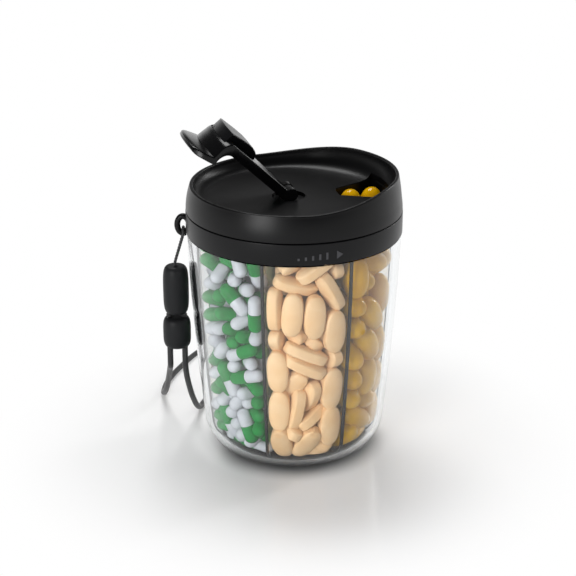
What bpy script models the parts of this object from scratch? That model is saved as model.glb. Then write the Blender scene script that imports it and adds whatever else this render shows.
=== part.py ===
"""A seven-compartment pill bottle: a clear cup with a divider insert, a screw-on collar with a
lanyard, and a dial lid whose flip lever stops its sector-shaped port. Metres, +Z up, the origin at
the middle of the foot, +X to the right and -Y towards whoever faces the marked side."""

import math

import bmesh
import bpy
from mathutils import Matrix, Vector

MM = 0.001

# Fits and finish
FIT_GAP = 0.3 * MM  # between pieces that seat on each other
RUN_GAP = 0.4 * MM  # between pieces that turn or slide past each other
OVERRUN = 4.0 * MM  # how far a cutter reaches past what it cuts
MERGE = 0.01 * MM
ROUND_STEPS = 64
SMALL_STEPS = 24
FILLET_STEPS = 5
HEEL_STEPS = 6
SIDE_LEVELS = 6
LEAN_STEPS = 5
ROUTE_STEPS = 24  # fine steps between two points of a cord's route

# Clear cup
CUP_RADIUS = 42.2 * MM  # at the shoulder
CUP_HEIGHT = 91.3 * MM  # to the shoulder
CUP_FOOT_RADIUS = 23.0 * MM
CUP_HEEL_RADIUS = 13.5 * MM
CUP_HEEL_SWEEP = math.radians(84)
CUP_FLARE_SHARE = 1.5  # exponent of the side's flare, 1 for a straight cone
CUP_WALL = 2.4 * MM
CUP_TOP_WALL = 3.3 * MM
NECK_HEIGHT = 6.3 * MM
NECK_WALL = 1.2 * MM
THREAD_STARTS = 4
THREAD_LEAD = 12.0 * MM
THREAD_BEAD_RADIUS = 0.7 * MM
THREAD_STAND = 0.9 * MM
THREAD_SWEEP = math.radians(100)
THREAD_FOOT = 1.3 * MM  # from the shoulder to the first turn
THREAD_STEP = math.radians(5)

# Divider insert
COMPARTMENTS = 7
FRONT_COMPARTMENT = math.radians(277.5)
HUB_RADIUS = 2.4 * MM
HUB_PLATE = 2.4 * MM
VANE_THICKNESS = 1.2 * MM
EDGE_WIDTH = 1.5 * MM
EDGE_DEPTH = 1.4 * MM
DIVIDER_RISE = 0.6 * MM  # above the neck's lip

# Collar and gasket
COLLAR_PROUD = 0.4 * MM  # of the cup's shoulder
COLLAR_LIFT = 0.5 * MM  # shadow gap above the cup's shoulder
COLLAR_CHAMFER = 0.4 * MM
GASKET_THICKNESS = 1.0 * MM
DECK_THICKNESS = 1.1 * MM
SPIGOT_WALL = 1.2 * MM
SPIGOT_HEIGHT = 3.2 * MM
SPIGOT_LIP = 0.7 * MM
SPIGOT_LIP_HEIGHT = 0.9 * MM
EYE_HALF_WIDTH = 2.3 * MM
EYE_HALF_HEIGHT = 3.5 * MM
EYE_ROD_RADIUS = 1.2 * MM
EYE_STAND = 1.1 * MM  # from the collar's face to the middle of the eye
EYE_RISE = 1.5 * MM  # from the collar's lower edge to the middle of the eye
EYE_POINTS = 20

# Dial lid
LID_ANGLE = math.radians(14)  # where the port stands, from +X
LID_SEAM = 0.5 * MM
LID_INSET = 0.1 * MM
LID_LEAN = 1.6 * MM
LID_FLOOR = 1.6 * MM
LID_DEPTH = 5.2 * MM  # from the dished floor to the low side of the rim
LID_DISH_RADIUS = 35.0 * MM
RIM_WIDTH = 1.5 * MM
RIM_ROUND = 0.35 * MM
RIM_RISE = 4.2 * MM
RIM_RISE_INNER = math.radians(35)
RIM_RISE_OUTER = math.radians(97)
SNAP_HEIGHT = 0.9 * MM
SKIRT_WALL = 1.2 * MM
UNDER_DISC_THICKNESS = 1.3 * MM
PORT_INNER_RADIUS = 17.6 * MM
PORT_INNER_HALF_WIDTH = 4.6 * MM
PORT_HALF_ANGLE = math.radians(19.5)
CHUTE_WALL = 1.0 * MM
WELL_RADIUS = 6.6 * MM
WELL_DEPTH = 1.3 * MM
WELL_WALL = 1.4 * MM

# Hinge and flip lever
HINGE_OFFSET = 2.2 * MM  # behind the dial's axis, seen from the port
HINGE_RISE = 1.8 * MM  # above the dished floor
LEVER_OPEN = math.radians(135.5)
PIN_RADIUS = 0.9 * MM
PIN_HALF_LENGTH = 3.9 * MM
BOSS_RADIUS = 2.2 * MM
BOSS_HALF_WIDTH = 1.7 * MM
KNUCKLE_RADIUS = 2.5 * MM
KNUCKLE_HALF_WIDTH = 5.2 * MM
FORK_LENGTH = 6.5 * MM  # from the pin's axis to the end of the slot between the prongs
ARM_TOP = 3.0 * MM
ARM_UNDERSIDE = 1.3 * MM  # below the pin's axis
ARM_NECK_LENGTH = 4.2 * MM
PLATE_UNDERSIDE = 0.8 * MM  # above the pin's axis, over the stopper
RISER_THICKNESS = 2.3 * MM
TAB_THICKNESS = 2.1 * MM
TAB_LENGTH = 5.2 * MM
TAB_RISE = 1.6 * MM
TAB_HALF_WIDTH = 16.0 * MM
TAB_CORNER = 4.0 * MM
BEND_RADIUS = 5.0 * MM  # inside the bend from the arm up to the riser
RISER_GAP = 0.6 * MM  # to the dished wall inside the rim
LEVER_SECTIONS = 12
STOPPER_LENGTH = 17.2 * MM
STOPPER_DROP = 3.3 * MM  # below the arm's underside, at its outer end
STOPPER_TIP_DROP = 0.8 * MM  # the same, at its inner end
STOPPER_INNER_HALF_WIDTH = 3.5 * MM
STOPPER_PEG_RADIUS = 2.2 * MM
STOPPER_PEG_HEIGHT = 1.2 * MM
STOPPER_BEVEL = 0.5 * MM
STOPPER_SLACK = 1.4 * MM  # at each side of the port's outer end

# Lanyard
TIE_RADIUS = 0.6 * MM
TIE_SPREAD = 0.9 * MM
TIE_TURN = 2.2 * MM
BEAD_RADIUS = 5.15 * MM
BEAD_HEIGHT = 20.5 * MM
BEAD_ROUND = 3.6 * MM
SLIDER_RADIUS = 5.6 * MM
SLIDER_HEIGHT = 13.2 * MM
SLIDER_ROUND = 3.2 * MM
SLIDER_GAP = 1.3 * MM
LANYARD_STAND = 5.0 * MM  # from the cup's shoulder to the bead's middle
BEAD_TOP = 76.2 * MM
CORD_RADIUS = 1.2 * MM
CORD_SPACING = 6.0 * MM
CORD_SPAN = 6.0 * MM  # between the points of a cord's tube
TIE_ROUTE_SHARES = [  # of the way out to the eye, of the spread, of the rise
    (0.0, 0.0, 0.0),
    (0.0, 0.0, 0.1),
    (0.5, 0.5, 0.55),
    (1.0, 1.0, 1.0),
]
TIE_CROWN_SHARES = [  # of the turn round the eye, across and up
    (0.75, 0.8),
    (0.0, 1.1),
]

# Heights and radii that follow from the sizes above
COLLAR_RADIUS = CUP_RADIUS + COLLAR_PROUD
LANYARD_X = -(CUP_RADIUS + LANYARD_STAND)
NECK_TOP = CUP_HEIGHT + NECK_HEIGHT
NECK_BORE = CUP_RADIUS - CUP_TOP_WALL
NECK_RADIUS = NECK_BORE + NECK_WALL
COLLAR_BORE = NECK_RADIUS + THREAD_STAND + FIT_GAP
COLLAR_BOTTOM = CUP_HEIGHT + COLLAR_LIFT
GASKET_BOTTOM = NECK_TOP + FIT_GAP
DECK_BOTTOM = GASKET_BOTTOM + GASKET_THICKNESS + FIT_GAP
COLLAR_TOP = DECK_BOTTOM + DECK_THICKNESS
SPIGOT_RADIUS = NECK_BORE + SPIGOT_WALL
SPIGOT_TOP = COLLAR_TOP + SPIGOT_HEIGHT
LID_BOTTOM = COLLAR_TOP + LID_SEAM
LID_RADIUS = COLLAR_RADIUS - LID_INSET
LID_BORE = SPIGOT_RADIUS + SPIGOT_LIP + FIT_GAP
LID_CEILING = SPIGOT_TOP + RUN_GAP
FLOOR_TOP = LID_CEILING + LID_FLOOR
RIM_TOP = FLOOR_TOP + LID_DEPTH
RIM_RADIUS = LID_RADIUS - LID_LEAN
RIM_INNER_RADIUS = RIM_RADIUS - RIM_WIDTH
DIVIDER_TOP = NECK_TOP + DIVIDER_RISE
UNDER_DISC_BOTTOM = DIVIDER_TOP + RUN_GAP
UNDER_DISC_TOP = UNDER_DISC_BOTTOM + UNDER_DISC_THICKNESS
SKIRT_RADIUS = NECK_BORE - RUN_GAP
SKIRT_BOTTOM = UNDER_DISC_TOP + FIT_GAP
PORT_OUTER_RADIUS = SKIRT_RADIUS - SKIRT_WALL
PIVOT_HEIGHT = FLOOR_TOP + HINGE_RISE
RISER_RADIUS = RIM_INNER_RADIUS - RISER_GAP
STOPPER_RADIUS = PORT_OUTER_RADIUS - RUN_GAP
TAB_UNDERSIDE = RIM_TOP + RIM_RISE + RUN_GAP - PIVOT_HEIGHT
SLIDER_TOP = BEAD_TOP - BEAD_HEIGHT - SLIDER_GAP
EYE_X = -(COLLAR_RADIUS + EYE_STAND)
EYE_HEIGHT = COLLAR_BOTTOM + EYE_RISE

# The lanyard's loop, from the bead down to the floor, round behind the cup and back up again
LOOP_ROUTE = [
    (-50.2 * MM, 0.0, 55.4 * MM),
    (-50.2 * MM, 0.0, 46.0 * MM),
    (-50.2 * MM, 0.0, 36.0 * MM),
    (-50.3 * MM, 0.9 * MM, 32.2 * MM),
    (-50.9 * MM, 6.0 * MM, 28.8 * MM),
    (-52.3 * MM, 15.6 * MM, 20.4 * MM),
    (-54.6 * MM, 27.6 * MM, 8.8 * MM),
    (-56.6 * MM, 38.5 * MM, 2.2 * MM),
    (-56.2 * MM, 49.0 * MM, 1.4 * MM),
    (-53.8 * MM, 59.0 * MM, 1.4 * MM),
    (-50.4 * MM, 68.5 * MM, 1.4 * MM),
    (-46.4 * MM, 78.5 * MM, 1.4 * MM),
    (-41.4 * MM, 87.0 * MM, 1.4 * MM),
    (-33.5 * MM, 92.0 * MM, 1.4 * MM),
    (-24.5 * MM, 90.0 * MM, 1.4 * MM),
    (-18.8 * MM, 82.0 * MM, 1.4 * MM),
    (-18.5 * MM, 71.5 * MM, 1.4 * MM),
    (-23.0 * MM, 61.5 * MM, 1.4 * MM),
    (-29.5 * MM, 52.0 * MM, 1.4 * MM),
    (-34.8 * MM, 42.0 * MM, 1.4 * MM),
    (-38.2 * MM, 31.5 * MM, 1.6 * MM),
    (-40.4 * MM, 22.5 * MM, 3.0 * MM),
    (-42.2 * MM, 13.5 * MM, 11.5 * MM),
    (-43.7 * MM, 5.0 * MM, 23.5 * MM),
    (-44.2 * MM, 0.9 * MM, 31.6 * MM),
    (-44.2 * MM, 0.0, 36.0 * MM),
    (-44.2 * MM, 0.0, 46.0 * MM),
    (-44.2 * MM, 0.0, 55.4 * MM),
]


def arc(centre_x, centre_y, radius_x, radius_y, start, end, steps):
    """Points of an elliptical arc, both ends among them."""
    turn = (end - start) / steps
    return [
        (
            centre_x + radius_x * math.cos(start + turn * i),
            centre_y + radius_y * math.sin(start + turn * i),
        )
        for i in range(steps + 1)
    ]


def new_collection(name):
    collection = bpy.data.collections.new(name)
    bpy.context.scene.collection.children.link(collection)
    return collection


def put(obj, collection, parent=None):
    collection.objects.link(obj)
    obj.parent = parent
    return obj


def as_cutter(obj):
    obj.hide_render = True
    obj.display_type = "WIRE"
    return obj


def finish(obj, colour, roughness, metallic=0.0, transmission=0.0):
    """Gives a piece its own material."""
    material = bpy.data.materials.new(obj.name)
    material.use_nodes = True
    shader = material.node_tree.nodes["Principled BSDF"]
    shader.inputs["Base Color"].default_value = (*colour, 1.0)
    shader.inputs["Roughness"].default_value = roughness
    shader.inputs["Metallic"].default_value = metallic
    shader.inputs["Transmission Weight"].default_value = transmission
    obj.data.materials.clear()
    obj.data.materials.append(material)
    return obj


def smooth(obj, sharp=math.radians(35)):
    obj.data.shade_smooth()
    obj.data.set_sharp_from_angle(angle=sharp)


def turned(name, outline, steps=ROUND_STEPS, closed=True):
    """A piece turned about its own Z from (radius, height) points that run down the outer side."""
    mesh = bpy.data.meshes.new(name)
    edges = [(i, i + 1) for i in range(len(outline) - 1)]
    if closed:
        edges.append((len(outline) - 1, 0))
    mesh.from_pydata([(r, 0.0, z) for r, z in outline], edges, [])
    obj = bpy.data.objects.new(name, mesh)
    screw = obj.modifiers.new("Turn", "SCREW")
    screw.steps = steps
    screw.render_steps = steps
    screw.use_merge_vertices = True
    screw.merge_threshold = MERGE
    return obj


def settled(obj):
    """The object with its modifiers made part of its mesh."""
    holder = bpy.data.collections.new("Settling")
    bpy.context.scene.collection.children.link(holder)
    holder.objects.link(obj)
    bpy.context.view_layer.update()
    graph = bpy.context.evaluated_depsgraph_get()
    mesh = bpy.data.meshes.new_from_object(obj.evaluated_get(graph))
    mesh.name = obj.name
    shell = bmesh.new()
    shell.from_mesh(mesh)
    bmesh.ops.remove_doubles(shell, verts=shell.verts, dist=MERGE)
    shell.to_mesh(mesh)
    shell.free()
    made = bpy.data.objects.new(obj.name, mesh)
    made.matrix_world = obj.matrix_world
    name = obj.name
    bpy.data.objects.remove(obj)
    bpy.data.collections.remove(holder)
    made.name = name
    return made


def plate(name, outline, thickness, axis="Y"):
    """A flat outline given a thickness, half on each side. Its plane is XZ, or XY for axis Z."""
    curve = bpy.data.curves.new(name, "CURVE")
    curve.dimensions = "2D"
    curve.fill_mode = "BOTH"
    curve.extrude = thickness / 2
    spline = curve.splines.new("POLY")
    spline.points.add(len(outline) - 1)
    for point, (x, y) in zip(spline.points, outline):
        point.co = (x, y, 0.0, 1.0)
    spline.use_cyclic_u = True
    obj = bpy.data.objects.new(name, curve)
    if axis == "Y":
        obj.rotation_euler = (math.radians(90), 0.0, 0.0)
    made = settled(obj)
    made.data.transform(made.matrix_basis)
    made.matrix_basis.identity()
    return made


def rod(name, radius, length, along, steps=SMALL_STEPS):
    """A plain cylinder about its own middle, its axis along X, Y or Z."""
    shell = bmesh.new()
    bmesh.ops.create_cone(
        shell, cap_ends=True, segments=steps, radius1=radius, radius2=radius, depth=length
    )
    mesh = bpy.data.meshes.new(name)
    shell.to_mesh(mesh)
    shell.free()
    obj = bpy.data.objects.new(name, mesh)
    turns = {
        "X": (0.0, math.radians(90), 0.0),
        "Y": (math.radians(90), 0.0, 0.0),
        "Z": (0.0, 0.0, 0.0),
    }
    obj.rotation_euler = turns[along]
    obj.data.transform(obj.matrix_basis)
    obj.rotation_euler = (0.0, 0.0, 0.0)
    return obj


def tube(name, points, radius, resolution, cyclic=False):
    curve = bpy.data.curves.new(name, "CURVE")
    curve.dimensions = "3D"
    curve.bevel_depth = radius
    curve.bevel_resolution = resolution
    curve.use_fill_caps = True
    spline = curve.splines.new("POLY")
    spline.points.add(len(points) - 1)
    for point, place in zip(spline.points, points):
        point.co = (*place, 1.0)
    spline.use_cyclic_u = cyclic
    return bpy.data.objects.new(name, curve)


def smooth_route(route, spacing):
    """Evenly spaced points on a smooth curve through the route's own points."""
    knots = [Vector(p) for p in route]
    padded = [2 * knots[0] - knots[1], *knots, 2 * knots[-1] - knots[-2]]
    fine = []
    for before, start, end, after in zip(padded, padded[1:], padded[2:], padded[3:]):
        for i in range(ROUTE_STEPS):
            t = i / ROUTE_STEPS
            fine.append(
                0.5
                * (
                    2 * start
                    + (end - before) * t
                    + (2 * before - 5 * start + 4 * end - after) * t**2
                    + (3 * start - before - 3 * end + after) * t**3
                )
            )
    fine.append(knots[-1])
    length = sum((b - a).length for a, b in zip(fine, fine[1:]))
    count = max(2, round(length / spacing))
    step = length / count
    points = [fine[0]]
    walked = 0.0
    for a, b in zip(fine, fine[1:]):
        span = (b - a).length
        while len(points) < count and walked + span >= step * len(points):
            points.append(a.lerp(b, (step * len(points) - walked) / span))
        walked += span
    points.append(fine[-1])
    return [tuple(p) for p in points], length


def boolean(target, other, operation):
    modifier = target.modifiers.new(f"{operation.title()} {other.name}", "BOOLEAN")
    modifier.operation = operation
    modifier.object = other
    modifier.solver = "EXACT"
    return target


def cup_side(height):
    """The cup's outer radius at a height between the heel and the shoulder."""
    foot = CUP_HEEL_RADIUS * (1 - math.sin(math.pi / 2 - CUP_HEEL_SWEEP))
    low = CUP_FOOT_RADIUS + CUP_HEEL_RADIUS * math.sin(CUP_HEEL_SWEEP)
    share = min(1.0, max(0.0, (height - foot) / (CUP_HEIGHT - foot)))
    return low + (CUP_RADIUS - low) * (1 - (1 - share) ** CUP_FLARE_SHARE)


def heel_top():
    return CUP_HEEL_RADIUS * (1 - math.sin(math.pi / 2 - CUP_HEEL_SWEEP))


def cup_bore(height, inset=0.0):
    """The cup's inner radius at a height, less an inset for what stands inside it."""
    if height >= heel_top():
        share = (height - heel_top()) / (CUP_HEIGHT - heel_top())
        wall = CUP_WALL + (CUP_TOP_WALL - CUP_WALL) * min(1.0, share)
        return cup_side(min(height, CUP_HEIGHT)) - wall - inset
    heel = CUP_HEEL_RADIUS - CUP_WALL - inset
    drop = min(heel, CUP_HEEL_RADIUS - height)
    return CUP_FOOT_RADIUS + math.sqrt(max(0.0, heel**2 - drop**2))


def side_heights(bottom, top):
    return [bottom + (top - bottom) * i / SIDE_LEVELS for i in range(SIDE_LEVELS + 1)]


def heel_points(inset, start, steps):
    """The heel's curve from low on the side to the foot, inset from the outside."""
    radius = CUP_HEEL_RADIUS - inset
    return arc(CUP_FOOT_RADIUS, CUP_HEEL_RADIUS, radius, radius, start, math.radians(-90), steps)


def helix(radius, phase, foot):
    count = round(THREAD_SWEEP / THREAD_STEP)
    points = []
    for i in range(count + 1):
        turn = THREAD_SWEEP * i / count
        height = foot + THREAD_LEAD * turn / math.tau
        points.append((radius * math.cos(phase + turn), radius * math.sin(phase + turn), height))
    return points


def add_thread(target, radius, offset, collection, parent=None):
    """Joins the thread's beads to a neck or a bore."""
    for start in range(THREAD_STARTS):
        phase = math.tau * start / THREAD_STARTS + offset
        points = helix(radius, phase, CUP_HEIGHT + THREAD_FOOT)
        bead = settled(tube(f"{target.name} thread {start + 1}", points, THREAD_BEAD_RADIUS, 1))
        put(as_cutter(bead), collection, parent)
        boolean(target, bead, "UNION")


def make_cup(parts, cutters):
    heel_end = CUP_HEEL_SWEEP - math.radians(90)
    outer = [(cup_side(z), z) for z in reversed(side_heights(heel_top(), CUP_HEIGHT))]
    outline = [
        (NECK_BORE, NECK_TOP),
        (NECK_RADIUS, NECK_TOP),
        (NECK_RADIUS, CUP_HEIGHT),
        *outer,
        *heel_points(0.0, heel_end, HEEL_STEPS)[1:],
        (0.0, 0.0),
        (0.0, CUP_WALL),
        *reversed(heel_points(CUP_WALL, heel_end, HEEL_STEPS)[1:]),
        *[(cup_bore(z), z) for z in side_heights(heel_top(), CUP_HEIGHT)],
    ]
    cup = turned("cup_shell", outline)
    put(cup, parts)
    add_thread(cup, NECK_RADIUS + THREAD_STAND - THREAD_BEAD_RADIUS, 0.0, cutters)
    finish(cup, (0.92, 0.95, 0.97), 0.04, transmission=1.0)
    smooth(cup)


def vane_angle(number):
    return FRONT_COMPARTMENT + math.tau * (number + 0.5) / COMPARTMENTS


def edge_curve(inset, bottom, top):
    """(radius, height) points up the inside of the cup, inset from its wall."""
    heel = CUP_HEEL_RADIUS - CUP_WALL - inset
    start = -math.asin(min(1.0, (CUP_HEEL_RADIUS - bottom) / heel))
    end = CUP_HEEL_SWEEP - math.radians(90)
    low = arc(CUP_FOOT_RADIUS, CUP_HEEL_RADIUS, heel, heel, start, end, HEEL_STEPS)
    return low + [(cup_bore(z, inset), z) for z in side_heights(heel_top(), top)[1:]]


def make_divider(parts):
    plate_bottom = CUP_WALL + FIT_GAP
    plate_top = plate_bottom + HUB_PLATE
    rim = edge_curve(FIT_GAP, plate_bottom, DIVIDER_TOP)
    curve_in = [(r, z) for r, z in rim if z < plate_top]
    hub_outline = [
        (0.0, DIVIDER_TOP),
        (HUB_RADIUS, DIVIDER_TOP),
        (HUB_RADIUS, plate_top),
        (cup_bore(plate_top, FIT_GAP), plate_top),
        *reversed(curve_in),
        (0.0, plate_bottom),
    ]
    hub = put(turned("divider_hub", hub_outline, SMALL_STEPS * 2, closed=False), parts)
    finish(hub, (0.02, 0.02, 0.022), 0.35)
    smooth(hub)
    pane_bottom = plate_top + FIT_GAP
    pane_inner = HUB_RADIUS + FIT_GAP
    pane_inset = FIT_GAP + EDGE_DEPTH + FIT_GAP
    pane = [
        (pane_inner, DIVIDER_TOP),
        (pane_inner, pane_bottom),
        *edge_curve(pane_inset, pane_bottom, DIVIDER_TOP),
    ]
    strip_outer = edge_curve(FIT_GAP, pane_bottom, DIVIDER_TOP)
    strip_inner = edge_curve(FIT_GAP + EDGE_DEPTH, pane_bottom, DIVIDER_TOP)
    strip = strip_outer + list(reversed(strip_inner))
    for number in range(COMPARTMENTS):
        turn = (0.0, 0.0, vane_angle(number))
        vane = put(plate(f"divider_vane_{number + 1}", pane, VANE_THICKNESS), parts)
        vane.rotation_euler = turn
        finish(vane, (0.9, 0.92, 0.93), 0.05, transmission=1.0)
        edge = put(plate(f"divider_edge_{number + 1}", strip, EDGE_WIDTH), parts)
        edge.rotation_euler = turn
        finish(edge, (0.015, 0.015, 0.016), 0.45)


def make_collar(parts, cutters):
    outline = [
        (NECK_BORE, SPIGOT_TOP),
        (SPIGOT_RADIUS + SPIGOT_LIP, SPIGOT_TOP),
        (SPIGOT_RADIUS + SPIGOT_LIP, SPIGOT_TOP - SPIGOT_LIP_HEIGHT),
        (SPIGOT_RADIUS, SPIGOT_TOP - SPIGOT_LIP_HEIGHT),
        (SPIGOT_RADIUS, COLLAR_TOP),
        (COLLAR_RADIUS - COLLAR_CHAMFER, COLLAR_TOP),
        (COLLAR_RADIUS, COLLAR_TOP - COLLAR_CHAMFER),
        (COLLAR_RADIUS, COLLAR_BOTTOM + COLLAR_CHAMFER),
        (COLLAR_RADIUS - COLLAR_CHAMFER, COLLAR_BOTTOM),
        (COLLAR_BORE, COLLAR_BOTTOM),
        (COLLAR_BORE, DECK_BOTTOM),
        (NECK_BORE, DECK_BOTTOM),
    ]
    collar = put(turned("collar_ring", outline), parts)
    radius = NECK_RADIUS + FIT_GAP + THREAD_BEAD_RADIUS
    add_thread(collar, radius, math.pi / THREAD_STARTS, cutters)
    make_eye(collar, cutters)
    finish(collar, (0.02, 0.02, 0.022), 0.42)
    smooth(collar)
    gasket_outline = [
        (NECK_BORE + FIT_GAP, GASKET_BOTTOM + GASKET_THICKNESS),
        (COLLAR_BORE - FIT_GAP, GASKET_BOTTOM + GASKET_THICKNESS),
        (COLLAR_BORE - FIT_GAP, GASKET_BOTTOM),
        (NECK_BORE + FIT_GAP, GASKET_BOTTOM),
    ]
    gasket = put(turned("collar_gasket", gasket_outline), parts)
    finish(gasket, (0.75, 0.76, 0.76), 0.6)
    smooth(gasket)


def make_eye(collar, cutters):
    """An oval eye on the collar's side, trimmed where it would meet the cup and the bore."""
    points = []
    for i in range(EYE_POINTS):
        turn = math.tau * i / EYE_POINTS
        across = EYE_X + EYE_HALF_WIDTH * math.cos(turn)
        up = EYE_HEIGHT + EYE_HALF_HEIGHT * math.sin(turn)
        points.append((across, 0.0, up))
    eye = settled(tube("Eye", points, EYE_ROD_RADIUS, 2, cyclic=True))
    trim = rod("Eye trim", CUP_RADIUS + FIT_GAP, COLLAR_TOP, "Z", ROUND_STEPS)
    trim.location.z = COLLAR_BOTTOM + COLLAR_CHAMFER - COLLAR_TOP / 2
    inner = rod("Eye bore", (COLLAR_BORE + COLLAR_RADIUS) / 2, COLLAR_TOP, "Z", ROUND_STEPS)
    inner.location.z = COLLAR_TOP
    for cutter in (trim, inner):
        put(as_cutter(cutter), cutters)
    put(eye, cutters)
    boolean(eye, trim, "DIFFERENCE")
    boolean(eye, inner, "DIFFERENCE")
    as_cutter(eye)
    boolean(collar, eye, "UNION")


def port_outline(outer_radius, inner_radius, half_width, half_angle, outset=0.0):
    """A blunt sector about +X. Its sides run straight from the blunt end to the outer arc."""
    inner = inner_radius - outset
    outer = outer_radius + outset
    spread = half_width + outset
    reach = outer_radius * math.sin(half_angle) + outset
    swing = math.asin(reach / outer)
    arc_points = arc(0.0, 0.0, outer, outer, -swing, swing, 2 * FILLET_STEPS)
    return [(inner, -spread), *arc_points, (inner, spread)]


def rim_rise(angle):
    """How far the rim stands up above its low side, at an angle from the port."""
    away = abs(math.remainder(angle, math.tau))
    share = (RIM_RISE_OUTER - away) / (RIM_RISE_OUTER - RIM_RISE_INNER)
    share = min(1.0, max(0.0, share))
    return RIM_RISE * share * share * (3 - 2 * share)


def lid_outline():
    wall_height = RIM_TOP - RIM_ROUND - LID_BOTTOM
    wall = []
    for i in range(LEAN_STEPS + 1):
        share = i / LEAN_STEPS
        wall.append((LID_RADIUS - LID_LEAN * share**2, LID_BOTTOM + wall_height * share))
    dish = arc(
        LID_DISH_RADIUS,
        RIM_TOP - RIM_ROUND,
        RIM_INNER_RADIUS - LID_DISH_RADIUS,
        LID_DEPTH - RIM_ROUND,
        math.radians(-90),
        0.0,
        FILLET_STEPS + 1,
    )
    snap_top = SPIGOT_TOP - SPIGOT_LIP_HEIGHT - RUN_GAP
    snap_bottom = snap_top - SNAP_HEIGHT
    snap_radius = SPIGOT_RADIUS + FIT_GAP
    return [
        (0.0, FLOOR_TOP),
        *dish,
        (RIM_INNER_RADIUS + RIM_ROUND, RIM_TOP),
        (RIM_RADIUS - RIM_ROUND, RIM_TOP),
        *reversed(wall),
        (LID_BORE, LID_BOTTOM),
        (LID_BORE, snap_bottom - SPIGOT_LIP / 2),
        (snap_radius, snap_bottom),
        (snap_radius, snap_top),
        (LID_BORE, snap_top),
        (LID_BORE, LID_CEILING),
        (SKIRT_RADIUS, LID_CEILING),
        (SKIRT_RADIUS, SKIRT_BOTTOM),
        (SKIRT_RADIUS - SKIRT_WALL, SKIRT_BOTTOM),
        (SKIRT_RADIUS - SKIRT_WALL, LID_CEILING),
        (0.0, LID_CEILING),
    ]


def make_lid(parts, cutters, frame):
    lid = settled(turned("lid_top", lid_outline(), closed=False))
    for vertex in lid.data.vertices:
        share = (vertex.co.z - FLOOR_TOP) / (RIM_TOP - FLOOR_TOP)
        if share > 0:
            angle = math.atan2(vertex.co.y, vertex.co.x)
            vertex.co.z += rim_rise(angle) * share
    put(lid, parts, frame)
    port = port_outline(PORT_OUTER_RADIUS, PORT_INNER_RADIUS, PORT_INNER_HALF_WIDTH, PORT_HALF_ANGLE)
    chute_height = FLOOR_TOP - LID_FLOOR / 2 - SKIRT_BOTTOM
    chute_outline = port_outline(
        PORT_OUTER_RADIUS,
        PORT_INNER_RADIUS,
        PORT_INNER_HALF_WIDTH,
        PORT_HALF_ANGLE,
        outset=CHUTE_WALL,
    )
    chute = plate("Chute", chute_outline, chute_height, axis="Z")
    chute.location.z = SKIRT_BOTTOM + chute_height / 2
    boss = rod("Well boss", WELL_RADIUS + WELL_WALL, WELL_DEPTH + WELL_WALL / 2, "Z", SMALL_STEPS * 2)
    boss.location = (-HINGE_OFFSET, 0.0, LID_CEILING - WELL_DEPTH / 2 + WELL_WALL / 2)
    for shape in (chute, boss):
        put(as_cutter(shape), cutters, frame)
        boolean(lid, shape, "UNION")
    cut_height = RIM_TOP + RIM_RISE + OVERRUN - UNDER_DISC_BOTTOM
    mouth = plate("Port cut", port, cut_height + OVERRUN, axis="Z")
    mouth.location.z = UNDER_DISC_BOTTOM + cut_height / 2
    well = rod("Well cut", WELL_RADIUS, WELL_DEPTH + OVERRUN, "Z", SMALL_STEPS * 2)
    well.location = (-HINGE_OFFSET, 0.0, FLOOR_TOP - WELL_DEPTH + (WELL_DEPTH + OVERRUN) / 2)
    for shape in (mouth, well):
        put(as_cutter(shape), cutters, frame)
        boolean(lid, shape, "DIFFERENCE")
    add_boss(lid, cutters, frame)
    finish(lid, (0.018, 0.018, 0.02), 0.38)
    smooth(lid)
    disc_outline = [
        (0.0, UNDER_DISC_TOP),
        (SKIRT_RADIUS, UNDER_DISC_TOP),
        (SKIRT_RADIUS, UNDER_DISC_BOTTOM),
        (0.0, UNDER_DISC_BOTTOM),
    ]
    disc = put(turned("lid_under_disc", disc_outline, closed=False), parts, frame)
    boolean(disc, mouth, "DIFFERENCE")
    finish(disc, (0.02, 0.02, 0.022), 0.5)
    smooth(disc)


def add_boss(lid, cutters, frame):
    """An upright boss in the hinge well, between the lever's prongs, with a bore for the pin."""
    foot = -(HINGE_RISE + WELL_DEPTH + WELL_WALL / 2)
    top = arc(0.0, 0.0, BOSS_RADIUS, BOSS_RADIUS, 0.0, math.pi, 2 * FILLET_STEPS)
    boss = plate("Boss", [(BOSS_RADIUS, foot), *top, (-BOSS_RADIUS, foot)], 2 * BOSS_HALF_WIDTH)
    bore = rod("Boss bore", PIN_RADIUS + FIT_GAP, 2 * (BOSS_HALF_WIDTH + OVERRUN), "Y")
    for shape in (boss, bore):
        shape.location = (-HINGE_OFFSET, 0.0, PIVOT_HEIGHT)
        put(as_cutter(shape), cutters, frame)
    boolean(lid, boss, "UNION")
    boolean(lid, bore, "DIFFERENCE")


def riser_face():
    """(along, up) points up the riser's outer face, clear of the dished wall inside the rim."""
    depth = (LID_DEPTH - RIM_ROUND) * (1 + RIM_RISE / LID_DEPTH)
    points = []
    for i in range(FILLET_STEPS + 1):
        height = PLATE_UNDERSIDE + (TAB_UNDERSIDE - PLATE_UNDERSIDE) * i / FILLET_STEPS
        share = min(1.0, (height + HINGE_RISE) / depth)
        wall = (RIM_INNER_RADIUS - LID_DISH_RADIUS) * math.sqrt(1 - (1 - share) ** 2)
        points.append((LID_DISH_RADIUS + wall - RISER_GAP + HINGE_OFFSET, height))
    return points


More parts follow.
